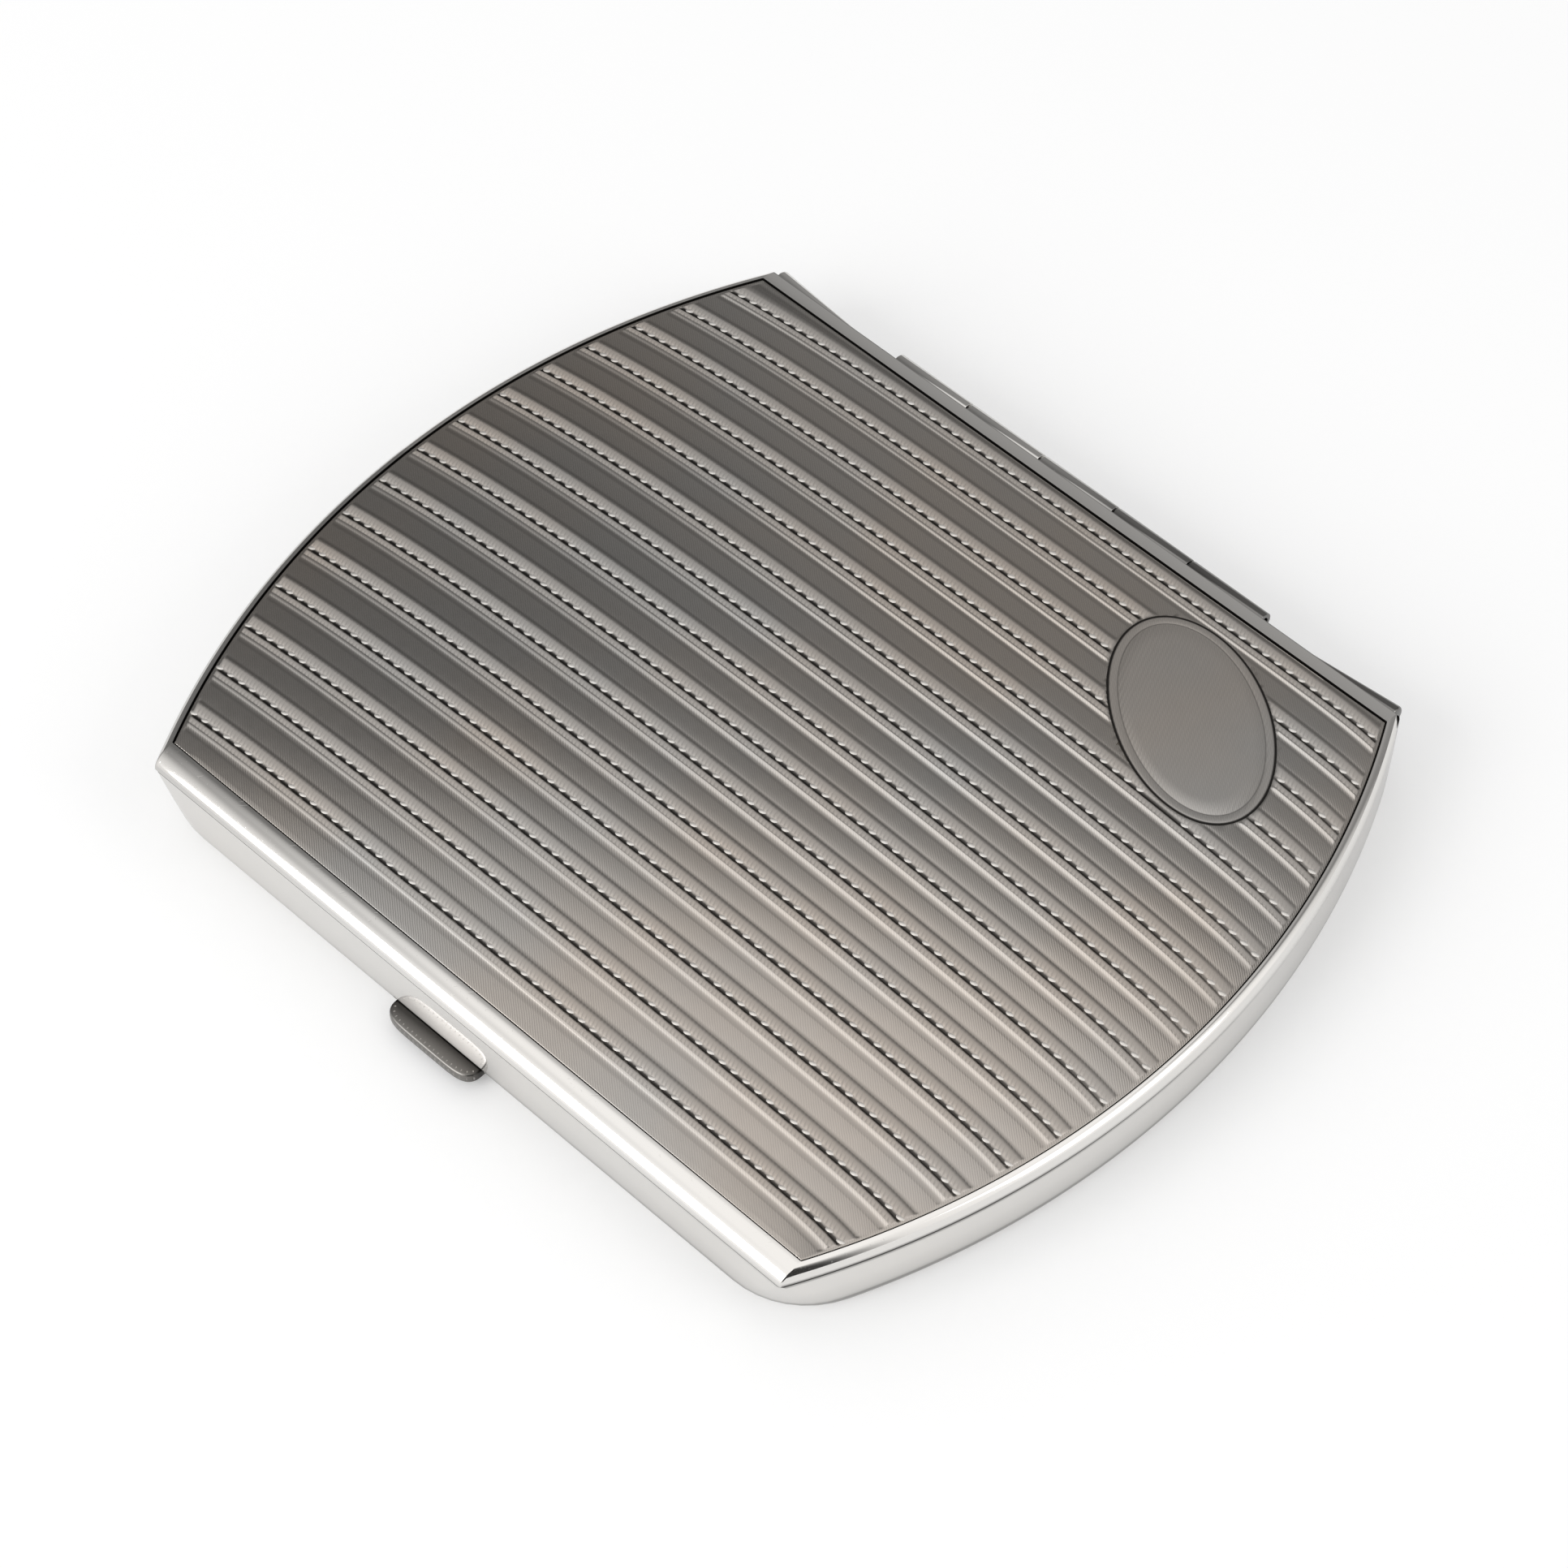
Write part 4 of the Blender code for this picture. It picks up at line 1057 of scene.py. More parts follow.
@dataclass
class BaseFrame:
    """Polished frame of the base, with the thumb slot, the barrel's seat and the corner stubs.

    Attributes:
        straight: Height of the straight wall; below it the wall rolls in.
        side_roll: How far the long sides roll in underneath.
        end_roll: How far the ends roll in underneath.
        top_corner: Radius of the corners at the seam.
        low_corner: Radius of the corners where the wall starts to roll.
        foot_corner: Radius of the corners underneath.
        barrelling: How far the wall leans in at the seam.
        barrel_seat: Radius of the round seat of the hinge barrel.
        barrel_reach: Half the length of that seat.
        slot_low: Lowest point of the slot, above the underside.
        slot_high: Highest point of the slot, above the underside.
        stub_start: Where the corner stubs start along X.
        stub_setback: How far the stubs stay inside the corners.
        parts: Divisions of the roll.
    """

    plan: CasePlan
    finishes: Finishes
    height: float = 6.9 * MM
    straight: float = 4.5 * MM
    side_roll: float = 2.85 * MM
    end_roll: float = 2.05 * MM
    wall: float = 0.7 * MM
    ledge_drop: float = 5.95 * MM
    ledge_sheet: float = 0.3 * MM
    ledge_width: float = 1.3 * MM
    top_corner: float = 0.4 * MM
    low_corner: float = 8.0 * MM
    foot_corner: float = 10.0 * MM
    edge_break: float = 0.05 * MM
    barrelling: float = 0.09 * MM
    barrel_seat: float = 1.3 * MM
    barrel_reach: float = 22.05 * MM
    slot_middle: float = -2.4 * MM
    slot_half: float = 5.4 * MM
    slot_low: float = 0.65 * MM
    slot_high: float = 2.15 * MM
    slot_depth: float = 2.525 * MM
    stub_start: float = 27.0 * MM
    stub_setback: float = 0.5 * MM
    stub_radius: float = 1.05 * MM
    stub_tip: float = 0.35 * MM
    stub_nose: float = 0.3 * MM
    parts: int = 16

    def corner_at(self, drop: float) -> float:
        """Radius of the corners at a drop below the seam."""
        drops = (0.0, self.straight, self.height)
        return float(np.interp(drop, drops, (self.top_corner, self.low_corner, self.foot_corner)))

    def roll_at(self, drop: float) -> float:
        """How far the wall has rolled in at a drop, from 0 to 1."""
        fall = max(drop - self.straight, 0) / (self.height - self.edge_break - self.straight)
        return 1 - sqrt(max(1 - fall**2, 0))

    def level(self, drop: float, roll: float, coat: Coat, inset: float = 0.0, corner: float = -1.0) -> Level:
        """One corner of the cross-section.

        Args:
            drop: How far it lies below the seam.
            roll: How far the wall has rolled in there, from 0 to 1.
            coat: Finish of the faces that follow.
            inset: Distance in from the rolled wall.
            corner: Radius of the plan's corners, if it isn't the wall's own.

        Returns:
            The corner.
        """
        radius = self.corner_at(drop) if corner < 0 else corner
        return Level(self.side_roll * roll + inset, self.end_roll * roll + inset, -drop, radius, coat)

    def levels(self) -> list[Level]:
        """Corners of the cross-section.

        Returns:
            The corners, down the outside and up the inside.
        """
        soft, foot, low = self.edge_break, self.height - self.edge_break, self.ledge_drop + self.ledge_sheet
        top, wide = SEAM_HALF_GAP, self.foot_corner
        made = [self.level(top, 0, Coat.SEAT, self.barrelling + soft, self.top_corner)]
        for share in [i / 12 for i in range(13)]:
            drop = top + soft + (self.straight - top - soft) * share
            made.append(self.level(drop, 0, Coat.OUTSIDE, self.barrelling * (1 - share) ** 2))
        for turn in [pi / 2 * i / self.parts for i in range(1, self.parts)]:
            drop = self.straight + (foot - self.straight) * sin(turn)
            made.append(self.level(drop, 1 - cos(turn), Coat.OUTSIDE))
        made.append(self.level(foot, 1, Coat.SEAT, 0.0, wide))
        made.append(self.level(low, 1, Coat.SEAT, 0.0, wide))
        made.append(self.level(low, 1, Coat.INSIDE, self.ledge_width, wide - self.ledge_width))
        made.append(self.level(self.ledge_drop, 1, Coat.INSIDE, self.ledge_width, wide - self.ledge_width))
        for drop in [self.ledge_drop + (self.straight - self.ledge_drop) * i / 6 for i in range(7)]:
            inner_corner = self.corner_at(drop) - self.wall
            made.append(self.level(drop, self.roll_at(drop), Coat.INSIDE, self.wall, inner_corner))
        made.append(self.level(top, 0, Coat.SEAT, self.wall, 0.0))
        return made

    def build(self, axis: Vector) -> None:
        """Make the frame and its corner stubs.

        Args:
            axis: A point on the hinge axis.
        """
        ring = frame_ring("base_frame_polished", self.plan, self.levels(), self.finishes)
        profile = [(-self.barrel_reach, self.barrel_seat), (self.barrel_reach, self.barrel_seat)]
        barrel = turned_piece("barrel_seat", profile, axis, "X", self.finishes.silver, 64)
        front, middle, half = -self.plan.half_depth, self.slot_middle, self.slot_half
        high = (middle + half, front + self.slot_depth, self.slot_high)
        slot = box_piece("thumb_slot", (middle - half, front - MM, self.slot_low), high)
        ring = cut_out(ring, barrel, slot)
        x, y, z = corners_of(ring).T
        drop = (SEAM_Z - z) / MM
        # Painted shade: a dark band round the lower roll, stronger towards the right, stands in for the
        # shadowed floor that it mirrors under the case.
        foot = np.interp(drop, (2.2, 4.1, 4.5, 4.75, 5.2, 5.45, 6.0), (0.0, 0.12, 0.3, 0.75, 0.75, 0.25, 0.0))
        foot *= np.clip(0.6 + 0.5 * x / self.plan.half_length, 0, 1)
        # Painted shade: the seam's edges, the back wall by the right end of the hinge and the barrel's hollow
        # darken.
        seam = np.interp(drop, (0.2, 0.5), (1.0, 0.0)) * self.plan.seam_shade(x, y)
        hinge_side_shade = 0.9 * ((y > self.plan.half_depth - MM) & (x > self.barrel_reach - MM) & (drop < 1.5))
        hollow = hollow_shade(y, z, axis, self.barrel_seat)
        mark(ring, "cut", np.maximum.reduce([foot, seam, hinge_side_shade, hollow]))
        seat(ring, Body.BASE, Slot.POLISHED, "base_rim")
        # Painted shade: the right corner stub is marked much darker than the left one.
        for side, label, tone in ((-1, "left", 0.1), (1, "right", 0.85)):
            stub = turned_piece("corner_stub_" + label, self.stub(side), axis, "X", self.finishes.silver)
            mark(stub, "cut", tone)
            seat(stub, Body.BASE, Slot.POLISHED)

    def stub(self, side: int) -> Profile:
        """Profile of a corner stub, a short rod in line with the hinge barrel.

        Args:
            side: 1 for the right stub and -1 for the left one.

        Returns:
            Places and radii for turned_piece.
        """
        end = self.plan.half_length - self.plan.end_bulge - self.stub_setback
        radius, nose = self.stub_radius, self.stub_nose
        profile = [(self.stub_start - nose, 0.02 * MM), (self.stub_start, self.stub_tip)]
        for turn in [pi / 2 * i / 5 for i in range(6)]:
            profile.append((end + nose * sin(turn), radius - nose * (1 - cos(turn))))
        return [(side * along, radius) for along, radius in profile]


@dataclass(frozen=True)
class Knot:
    """One point of a band's profile, in millimetres.

    Attributes:
        offset: Distance behind the rope line.
        height: Height above the plain bands.
        cut: How dark the engraving is there.
        hatch: How much hatching there is; below 0 the ridge is polished and painted brighter as a highlight
            instead.
    """

    offset: float
    height: float
    cut: float = 0.0
    hatch: float = 0.0


@dataclass(frozen=True)
class Band:
    """Profile of one engine-turned band, from front to back.

    Attributes:
        pitch: Spacing of the rows.
        crest: Height of the strips above the plain bands.
        knots: The profile.
    """

    pitch: float = 4.841 * MM
    crest: float = 0.092 * MM
    knots: tuple[Knot, ...] = (
        Knot(-1.6, 0.0),
        Knot(-1.48, -0.008, 0.1),
        Knot(-1.34, -0.02, 0.26),
        Knot(-1.2, -0.014, 0.26),
        Knot(-1.06, -0.004, 0.12),
        # Painted highlight: these knots with hatch below 0 give the front ridge the strips' paler colour.
        Knot(-0.98, 0.008, 0.0, -0.3),
        Knot(-0.88, 0.038, 0.0, -0.95),
        Knot(-0.76, 0.086, 0.0, -0.95),
        Knot(-0.66, 0.092, 0.0, -0.5),
        Knot(-0.54, 0.082, 0.04, 0.8),
        Knot(-0.46, 0.074, 0.1, 1.0),
        Knot(-0.3, 0.066, 0.18, 1.0),
        Knot(-0.12, 0.056, 0.26, 1.0),
        Knot(-0.04, 0.03, 0.5, 0.6),
        Knot(0.03, -0.03, 0.95),
        Knot(0.13, -0.055, 1.0),
        Knot(0.23, -0.045, 0.95),
        Knot(0.32, -0.01, 0.85, 0.3),
        Knot(0.4, 0.03, 0.4, 1.0),
        Knot(0.54, 0.072, 0.06, 1.0),
        Knot(0.68, 0.078, 0.06, 1.0),
        Knot(0.86, 0.07, 0.18, 1.0),
        Knot(1.04, 0.06, 0.22, 1.0),
        Knot(1.22, 0.044, 0.26, 1.0),
        Knot(1.38, 0.012, 0.34, 0.6),
        Knot(1.52, -0.02, 0.5, 0.2),
        Knot(1.66, -0.026, 0.42),
        Knot(1.8, -0.01, 0.2),
        Knot(1.94, 0.0),
    )

    @property
    def reach(self) -> float:
        """Distance from the rope line to the end of the profile."""
        return self.knots[-1].offset * MM


@dataclass(frozen=True)
class Oval:
    """Plain oval panel left in the engine turning.

    Attributes:
        half_long: Half its long axis, to the middle of the dark line.
        half_short: Half its short axis, to the middle of the dark line.
        turn: Angle of the long axis from X.
        margin: From the middle of the dark line to the panel's edge.
    """

    centre: tuple[float, float] = (24.94 * MM, 24.81 * MM)
    half_long: float = 11.34 * MM
    half_short: float = 6.88 * MM
    turn: float = radians(-35.5)
    margin: float = 0.12 * MM

    def share(self, x: Any, y: Any) -> Any:
        """How far out a point is, where 1 is the panel's edge.

        Args:
            x: Place along X.
            y: Place along Y.

        Returns:
            The share.
        """
        dx, dy = x - self.centre[0], y - self.centre[1]
        along = dx * cos(self.turn) + dy * sin(self.turn)
        across = dy * cos(self.turn) - dx * sin(self.turn)
        return np.hypot(along / (self.half_long + self.margin), across / (self.half_short + self.margin))

    def point(self, angle: float, inset: float, share: float = 1.0) -> tuple[float, float]:
        """Point on a line inside the panel's edge.

        Args:
            angle: Its angle from the long axis.
            inset: Distance of the line from the edge.
            share: How far the line is drawn in towards the middle.

        Returns:
            The point.
        """
        along = (self.half_long + self.margin - inset) * cos(angle) * share
        across = (self.half_short + self.margin - inset) * sin(angle) * share
        x = self.centre[0] + along * cos(self.turn) - across * sin(self.turn)
        return x, self.centre[1] + along * sin(self.turn) + across * cos(self.turn)


@dataclass
class TurnedPlate:
    """Engine-turned plate: rows of rope lines between plain bands, with a plain edge.

    Attributes:
        rows: Place along Y of each rope line, from front to back.
        half: Half the depth of the plate.
        reach: Half the length of the plate at a distance from its middle line.
        crest: Height of the plate's highest parts at a point.
        facing: 1 for a plate seen from above, -1 for one seen from below.
        sheet: Thickness of the plate.
        finishes: The finishes.
        oval: The plain panel, if it has one.
        bend: How far the pattern strays from straight rows at a point.
        worn: How much of the turning is worn away near the right end.
        bead_offset: How far behind a rope line its beads lie.
        bead_step: Spacing of the points of the line that the beads follow.
        bead_sink: How far the beads' middles lie below the plain bands.
        bead_clearance: How near the oval's middle the beads come, where 1 is its edge.
        border: Width of the plain edge at the bowed ends.
        wear_length: How fast the wear fades away from the right end.
        wear_middle: Place along Y of the strongest wear.
        wear_spread: How fast the wear fades away from there.
        edge_round: Rounding of the plate's edge.
        edge_line: Width of that rounding.
        plain_step: Greatest distance between rows of points in a plain band.
        end_lines: Distances of the grid's outer columns from the bowed ends, in millimetres.
        under_rows: How many rows of points one face of the inside spans.
        under_columns: How many columns it spans.
    """

    name: str
    rows: list[float]
    half: float
    reach: Callable[[Any], Any]
    crest: Callable[[Any, Any], Any]
    facing: int
    sheet: float
    finishes: Finishes
    oval: Optional[Oval] = None
    bend: Callable[[Any, Any], Any] = lambda x, y: np.zeros_like(x)
    worn: float = 0.0
    band: Band = Band()
    bead_offset: float = 0.38 * MM
    bead_step: float = 0.5 * MM
    bead_sink: float = 0.005 * MM
    bead_clearance: float = 1.07
    border: float = 0.25 * MM
    wear_length: float = 3.5 * MM
    wear_middle: float = 6 * MM
    wear_spread: float = 20 * MM
    edge_round: float = 0.06 * MM
    edge_line: float = 0.10 * MM
    plain_step: float = 0.6 * MM
    end_lines: tuple[float, ...] = (0.0, 0.03, 0.1, 0.2, 0.3, 0.38, 0.46, 0.6, 0.9, 1.4)
    under_rows: int = 14
    under_columns: int = 6

    def _lines(self) -> np.ndarray:
        """Rows of points.

        Returns:
            Place along Y, height, cut and hatching of each row.
        """
        # Painted shade: the plate's front and back edges darken where they meet the groove.
        edge = ((0.0, 0.45), (0.03, 0.45), (0.1, 0.0))
        made = [(side * (self.half - inset * MM), 0.0, cut, 0.0) for side in (-1, 1) for inset, cut in edge]
        for row in self.rows:
            made += [(row + k.offset * MM, k.height * MM, k.cut, k.hatch) for k in self.band.knots]
        lows = [self.edge_line - self.half] + [row + self.band.reach for row in self.rows]
        highs = [row - self.band.reach for row in self.rows] + [self.half - self.edge_line]
        for low, high in zip(lows, highs):
            steps = max(2, ceil((high - low) / self.plain_step))
            made += [(low + (high - low) * i / steps, 0.0, 0.0, 0.0) for i in range(1, steps)]
        return np.array(sorted(line for line in made if abs(line[0]) <= self.half))

    def _columns(self, y: np.ndarray) -> np.ndarray:
        """Places along X of the grid's columns.

        Args:
            y: Place along Y of each row of points.

        Returns:
            The places, row by row.
        """
        ends = np.array(self.end_lines) * MM
        shares = set(np.round(np.linspace(-1, 1, 61)[1:-1], 5))
        if self.oval:
            shares |= set(np.round(np.arange(0.27, 0.985, 0.009), 5))
        reach = self.reach(y)[:, None]
        right = reach - ends[::-1]
        return np.concatenate([-right[:, ::-1], (reach - ends[-1]) * np.array(sorted(shares)), right], axis=1)

    def _mask(self, x: np.ndarray, y: np.ndarray) -> np.ndarray:
        """How much of the turning is cut.

        Args:
            x: Places along X.
            y: Places along Y.

        Returns:
            1 where it is cut in full, 0 at the plain edge and in the oval.
        """
        mask = np.clip((self.reach(y) - np.abs(x) - self.border - 0.08 * MM) / (0.1 * MM), 0, 1)
        from_end = np.maximum(self.reach(y) - x, 0) / self.wear_length
        mask *= 1 - self.worn * np.exp(-from_end - ((y - self.wear_middle) / self.wear_spread) ** 2)
        if self.oval:
            mask *= np.clip((self.oval.share(x, y) - 1.0) / 0.03, 0, 1)
        return mask

    def build(self) -> bpy.types.Object:
        """Make the plate.

        Returns:
            The piece, not yet seated.
        """
        lines = self._lines()
        x = self._columns(lines[:, 0])
        straight = np.repeat(lines[:, :1], x.shape[1], axis=1)
        y = straight + self.bend(x, straight)
        reach = self.reach(straight)
        x = x + np.sign(x) * (self.reach(y) - reach) * np.clip(np.abs(x) / reach, 0, 1) ** 4
        mask = self._mask(x, y)
        inside = self.reach(y) - np.abs(x)
        height = lines[:, 1:2] * mask - self.band.crest
        edge = np.minimum(inside, self.half - np.abs(y))
        height -= self.edge_round * np.clip(1 - edge / self.edge_line, 0, 1) ** 2
        # Painted shade: the plate darkens at its bowed ends, in the groove, much more at the right end than
        # at the left.
        cut = lines[:, 2:3] * mask + np.where(x > 0, 0.9, 0.3) * np.clip(1 - inside / (0.08 * MM), 0, 1)
        if self.oval:
            share = self.oval.share(x, y)
            height = np.where(share < 0.95, -0.3 * MM, height)
            cut = np.maximum(cut, 0.95 * np.clip(1 - np.abs(share - 0.985) / 0.018, 0, 1))
        top = self.crest(x, y)
        points = np.stack([x, y, top + self.facing * height], -1).reshape(-1, 3)
        inner = np.stack([x, y, top - self.facing * self.sheet], -1)
        faces, coats, under = self._faces(*x.shape)
        under_points = [inner[j, i] for j, i in under]
        coatings = [self.finishes.turned, self.finishes.gilt]
        piece = make_piece(self.name, np.concatenate([points, under_points]), faces, coatings, coats)
        for name, values in (("cut", np.clip(cut, 0, 1)), ("hatch", lines[:, 3:4] * mask)):
            mark(piece, name, np.concatenate([values.ravel(), np.zeros(len(under))]))
        return piece

    def _faces(self, rows: int, columns: int) -> tuple[list[Face], list[int], list[tuple[int, int]]]:
        """Faces of the fine outside, the coarse inside and the edge between them.

        Args:
            rows: Number of rows of points.
            columns: Number of columns of points.

        Returns:
            The faces, their coats, and the row and column of each point of the inside.
        """
        low: dict[tuple[int, int], int] = {}

        def under(j: int, i: int) -> int:
            """Number of the inside's point at a row and column."""
            return low.setdefault((j, i), rows * columns + len(low))

        starts = [j * columns + i for j in range(rows - 1) for i in range(columns - 1)]
        faces = [(a, a + 1, a + columns + 1, a + columns) for a in starts]
        coats = [0] * len(faces)
        steps_j = sorted(set(range(0, rows - 1, self.under_rows)) | {rows - 1})
        steps_i = sorted(set(range(0, columns - 1, self.under_columns)) | {columns - 1})
        for j0, j1 in zip(steps_j, steps_j[1:]):
            for i0, i1 in zip(steps_i, steps_i[1:]):
                front = range(i0, i1) if j0 == 0 else (i0,)
                right = range(j0, j1) if i1 == columns - 1 else (j0,)
                back = range(i1, i0, -1) if j1 == rows - 1 else (i1,)
                left = range(j1, j0, -1) if i0 == 0 else (j1,)
                loop = [under(j0, i) for i in front] + [under(j, i1) for j in right]
                loop += [under(j1, i) for i in back] + [under(j, i0) for j in left]
                faces.append(tuple(reversed(loop)))
                coats.append(1)
        rim = [(0, i) for i in range(columns - 1)] + [(j, columns - 1) for j in range(rows - 1)]
        rim += [(rows - 1, i) for i in range(columns - 1, 0, -1)] + [(j, 0) for j in range(rows - 1, 0, -1)]
        for (j0, i0), (j1, i1) in zip(rim, rim[1:] + rim[:1]):
            faces.append((j0 * columns + i0, under(j0, i0), under(j1, i1), j1 * columns + i1))
            coats.append(0)
        return faces, coats, list(low)

    def rope(self, name: str, tree: StrungBalls) -> bpy.types.Object:
        """Make the beads on all rope lines, broken at the plain edge and at the oval.

        Args:
            name: Name of the piece.
            tree: The tree that strings the beads.

        Returns:
            The piece, not yet seated.
        """
        points: list[Point] = []
        edges: list[tuple[int, int]] = []
        for row in self.rows:
            y = row + self.facing * self.bead_offset
            end = float(self.reach(y)) - self.border - self.bead_step
            joined = False
            for x in np.append(np.arange(-end, end, self.bead_step), end):
                there = y + float(self.bend(x, y))
                if self.oval and self.oval.share(x, there) < self.bead_clearance:
                    joined = False
                    continue
                if joined:
                    edges.append((len(points) - 1, len(points)))
                sunk = self.facing * (self.band.crest + self.bead_sink)
                points.append((float(x), there, float(self.crest(x, there)) - sunk))
                joined = True
        values = {
            "Spacing": 1.333 * MM,
            "Half Length": 0.42 * MM,
            "Half Width": 0.23 * MM,
            "Half Height": 0.092 * MM,
            "Slant": 0.3,
            "Material": self.finishes.beads,
        }
        return tree.grow(name, points, edges, values)


@dataclass
class Lid:
    """Crowned lid plate with its rope beads and its plain oval panel.

    Attributes:
        side_border: From the front wall to the plate's edge.
        end_border: From the bowed ends to the plate's edge.
        edge_rise: Rise of the plate's edge.
        crown: How far the plate stands up in the middle.
        length_power: Shape of the crown along X.
        depth_power: Shape of the crown along Y.
        row_shift: Place along Y of the middle rope line.
        stray: How far the rows stray to the front at the left end, in the middle and at the back.
        stray_length: Length over which they straighten out, in the middle and at the back.
    """

    plan: CasePlan
    finishes: Finishes
    beads: StrungBalls
    side_border: float = 2.48 * MM
    end_border: float = 1.13 * MM
    edge_rise: float = 1.5 * MM
    crown: float = 3.0 * MM
    length_power: float = 2.3
    depth_power: float = 2.15
    sheet: float = 0.45 * MM
    row_count: int = 15
    row_shift: float = 0.77 * MM
    stray: tuple[float, float] = (0.5 * MM, 1.45 * MM)
    stray_length: tuple[float, float] = (8.0 * MM, 12.0 * MM)

    @property
    def half(self) -> float:
        """Half the depth of the plate."""
        return self.plan.half_depth - self.side_border

    def reach(self, y: Any) -> Any:
        """Half the plate's length at a distance from the middle line."""
        return self.plan.reach(y, self.end_border)

    def crest(self, x: Any, y: Any) -> Any:
        """Height of the crowned surface.

        Args:
            x: Place along X.
            y: Place along Y.

        Returns:
            The height.
        """
        u, v = np.clip(np.abs(x) / self.reach(y), 0, 1), np.clip(np.abs(y) / self.half, 0, 1)
        rise = (1 - u**self.length_power) * (1 - v**self.depth_power)
        return SEAM_Z + self.edge_rise + self.crown * rise

    def bend(self, x: Any, y: Any) -> Any:
        """How far the hand-guided rows stray towards the front near the plate's ends.

        Args:
            x: Place along X.
            y: Place along Y.

        Returns:
            The distance, below 0 to the front.
        """
        back = np.clip(y / self.half, 0, 1) ** 1.5
        left, length = (a + (b - a) * back for a, b in (self.stray, self.stray_length))
        drift = left * np.exp(-np.maximum(self.reach(y) + x, 0) / length)
        drift += self.stray[0] * np.exp(-np.maximum(self.reach(y) - x, 0) / (3.0 * MM))
        held = np.clip((self.half - y) / (0.5 * MM), 0, 1) * np.clip((self.half + y) / (1.2 * MM), 0, 1)
        return -drift * held

    def build(self) -> None:
        """Make the plate, its beads and its oval panel."""
        oval, middle = Oval(), (self.row_count - 1) / 2
        rows = [self.row_shift + (k - middle) * Band.pitch for k in range(self.row_count)]
        shape = (rows, self.half, self.reach, self.crest, 1, self.sheet)
        plate = TurnedPlate("lid_plate_turned", *shape, self.finishes, oval, self.bend, worn=0.7)
        seat(plate.build(), Body.LID, Slot.TURNED, "lid_plate")
        seat(plate.rope("lid_rope_beads", self.beads), Body.LID, Slot.TURNED)
        seat(self.oval_panel(oval), Body.LID, Slot.TURNED)

    def oval_panel(self, oval: Oval) -> bpy.types.Object:
        """Plain panel with its dark outline and a thin line inside it.

        Args:
            oval: Place and size of the panel.

        Returns:
            The piece, not yet seated.
        """
        inwards = (0.12, 0.3, 0.5, 0.7, 0.85)
        border = (
            (0.00, -0.050, 1.0),
            (0.05, -0.070, 1.0),
            (0.17, -0.070, 1.0),
            (0.24, -0.036, 0.4),
            (0.32, -0.030, 0.0),
            (0.88, -0.030, 0.0),
            (0.94, -0.050, 0.45),
            (1.00, -0.050, 0.45),
            (1.06, -0.030, 0.0),
        )
        levels = [(0.0, share, -0.3, 0.0) for share in (*inwards, 1.0)]
        levels += [(inset, 1.0, height, depth) for inset, height, depth in border]
        levels += [(1.06, share, -0.030, 0.0) for share in reversed(inwards)]
        parts = 128
        rings = []
        for inset, share, height, _ in levels:
            plan = [oval.point(2 * pi * i / parts, inset * MM, share) for i in range(parts)]
            rings.append([(x, y, float(self.crest(x, y)) + height * MM) for x, y in plan])
        panel = make_piece("lid_oval_panel", *loft(rings), [self.finishes.turned])
        mark(panel, "cut", np.repeat([depth for *_, depth in levels], parts))
        mark(panel, "hatch", 0.3)
        return panel


@dataclass
class Underside:
    """Flat engine-turned plate that the case lies on."""

    plan: CasePlan
    finishes: Finishes
    beads: StrungBalls
    side_border: float = 3.15 * MM
    end_border: float = 2.35 * MM
    corner: float = 9.7 * MM
    sheet: float = 0.5 * MM
    row_count: int = 13

    def reach(self, y: Any) -> Any:
        """Half the plate's length, round its corners.

        Args:
            y: Distance from the middle line.

        Returns:
            Half the length.
        """
        arc = self.plan.end_radius - self.end_border
        fillet_y = self.plan.half_depth - self.side_border - self.corner
        fillet_x = self.plan.end_centre + sqrt((arc - self.corner) ** 2 - fillet_y**2)
        touch = fillet_y * arc / (arc - self.corner)
        y = np.abs(y)
        rounded = fillet_x + np.sqrt(self.corner**2 - np.clip(y - fillet_y, 0, self.corner) ** 2)
        straight = self.plan.end_centre + np.sqrt(arc**2 - np.minimum(y, touch) ** 2)
        return np.where(y > touch, rounded, straight)

    def build(self) -> None:
        """Make the plate and its beads."""
        rows = [(k - (self.row_count - 1) / 2) * Band.pitch for k in range(self.row_count)]
        half = self.plan.half_depth - self.side_border
        shape = (rows, half, self.reach, lambda x, y: np.zeros_like(x), -1, self.sheet)
        plate = TurnedPlate("base_plate_turned", *shape, self.finishes)
        seat(plate.build(), Body.BASE, Slot.TURNED, "base_plate")
        seat(plate.rope("base_rope_beads", self.beads), Body.BASE, Slot.TURNED)


def dress(node: str, ending: str, body: Body, slot: Slot, material: bpy.types.Material, edge: float) -> None:
    """Show a CAD node as it is, with rounded edges.

    Args:
        node: The CAD node.
        ending: What its piece's name ends in.
        body: The body that it moves with.
        slot: Its material slot.
        material: Its material.
        edge: Width of the rounded edges.
    """
    seat(refined(node, f"{node}_{ending}", material, edge), body, slot, node)


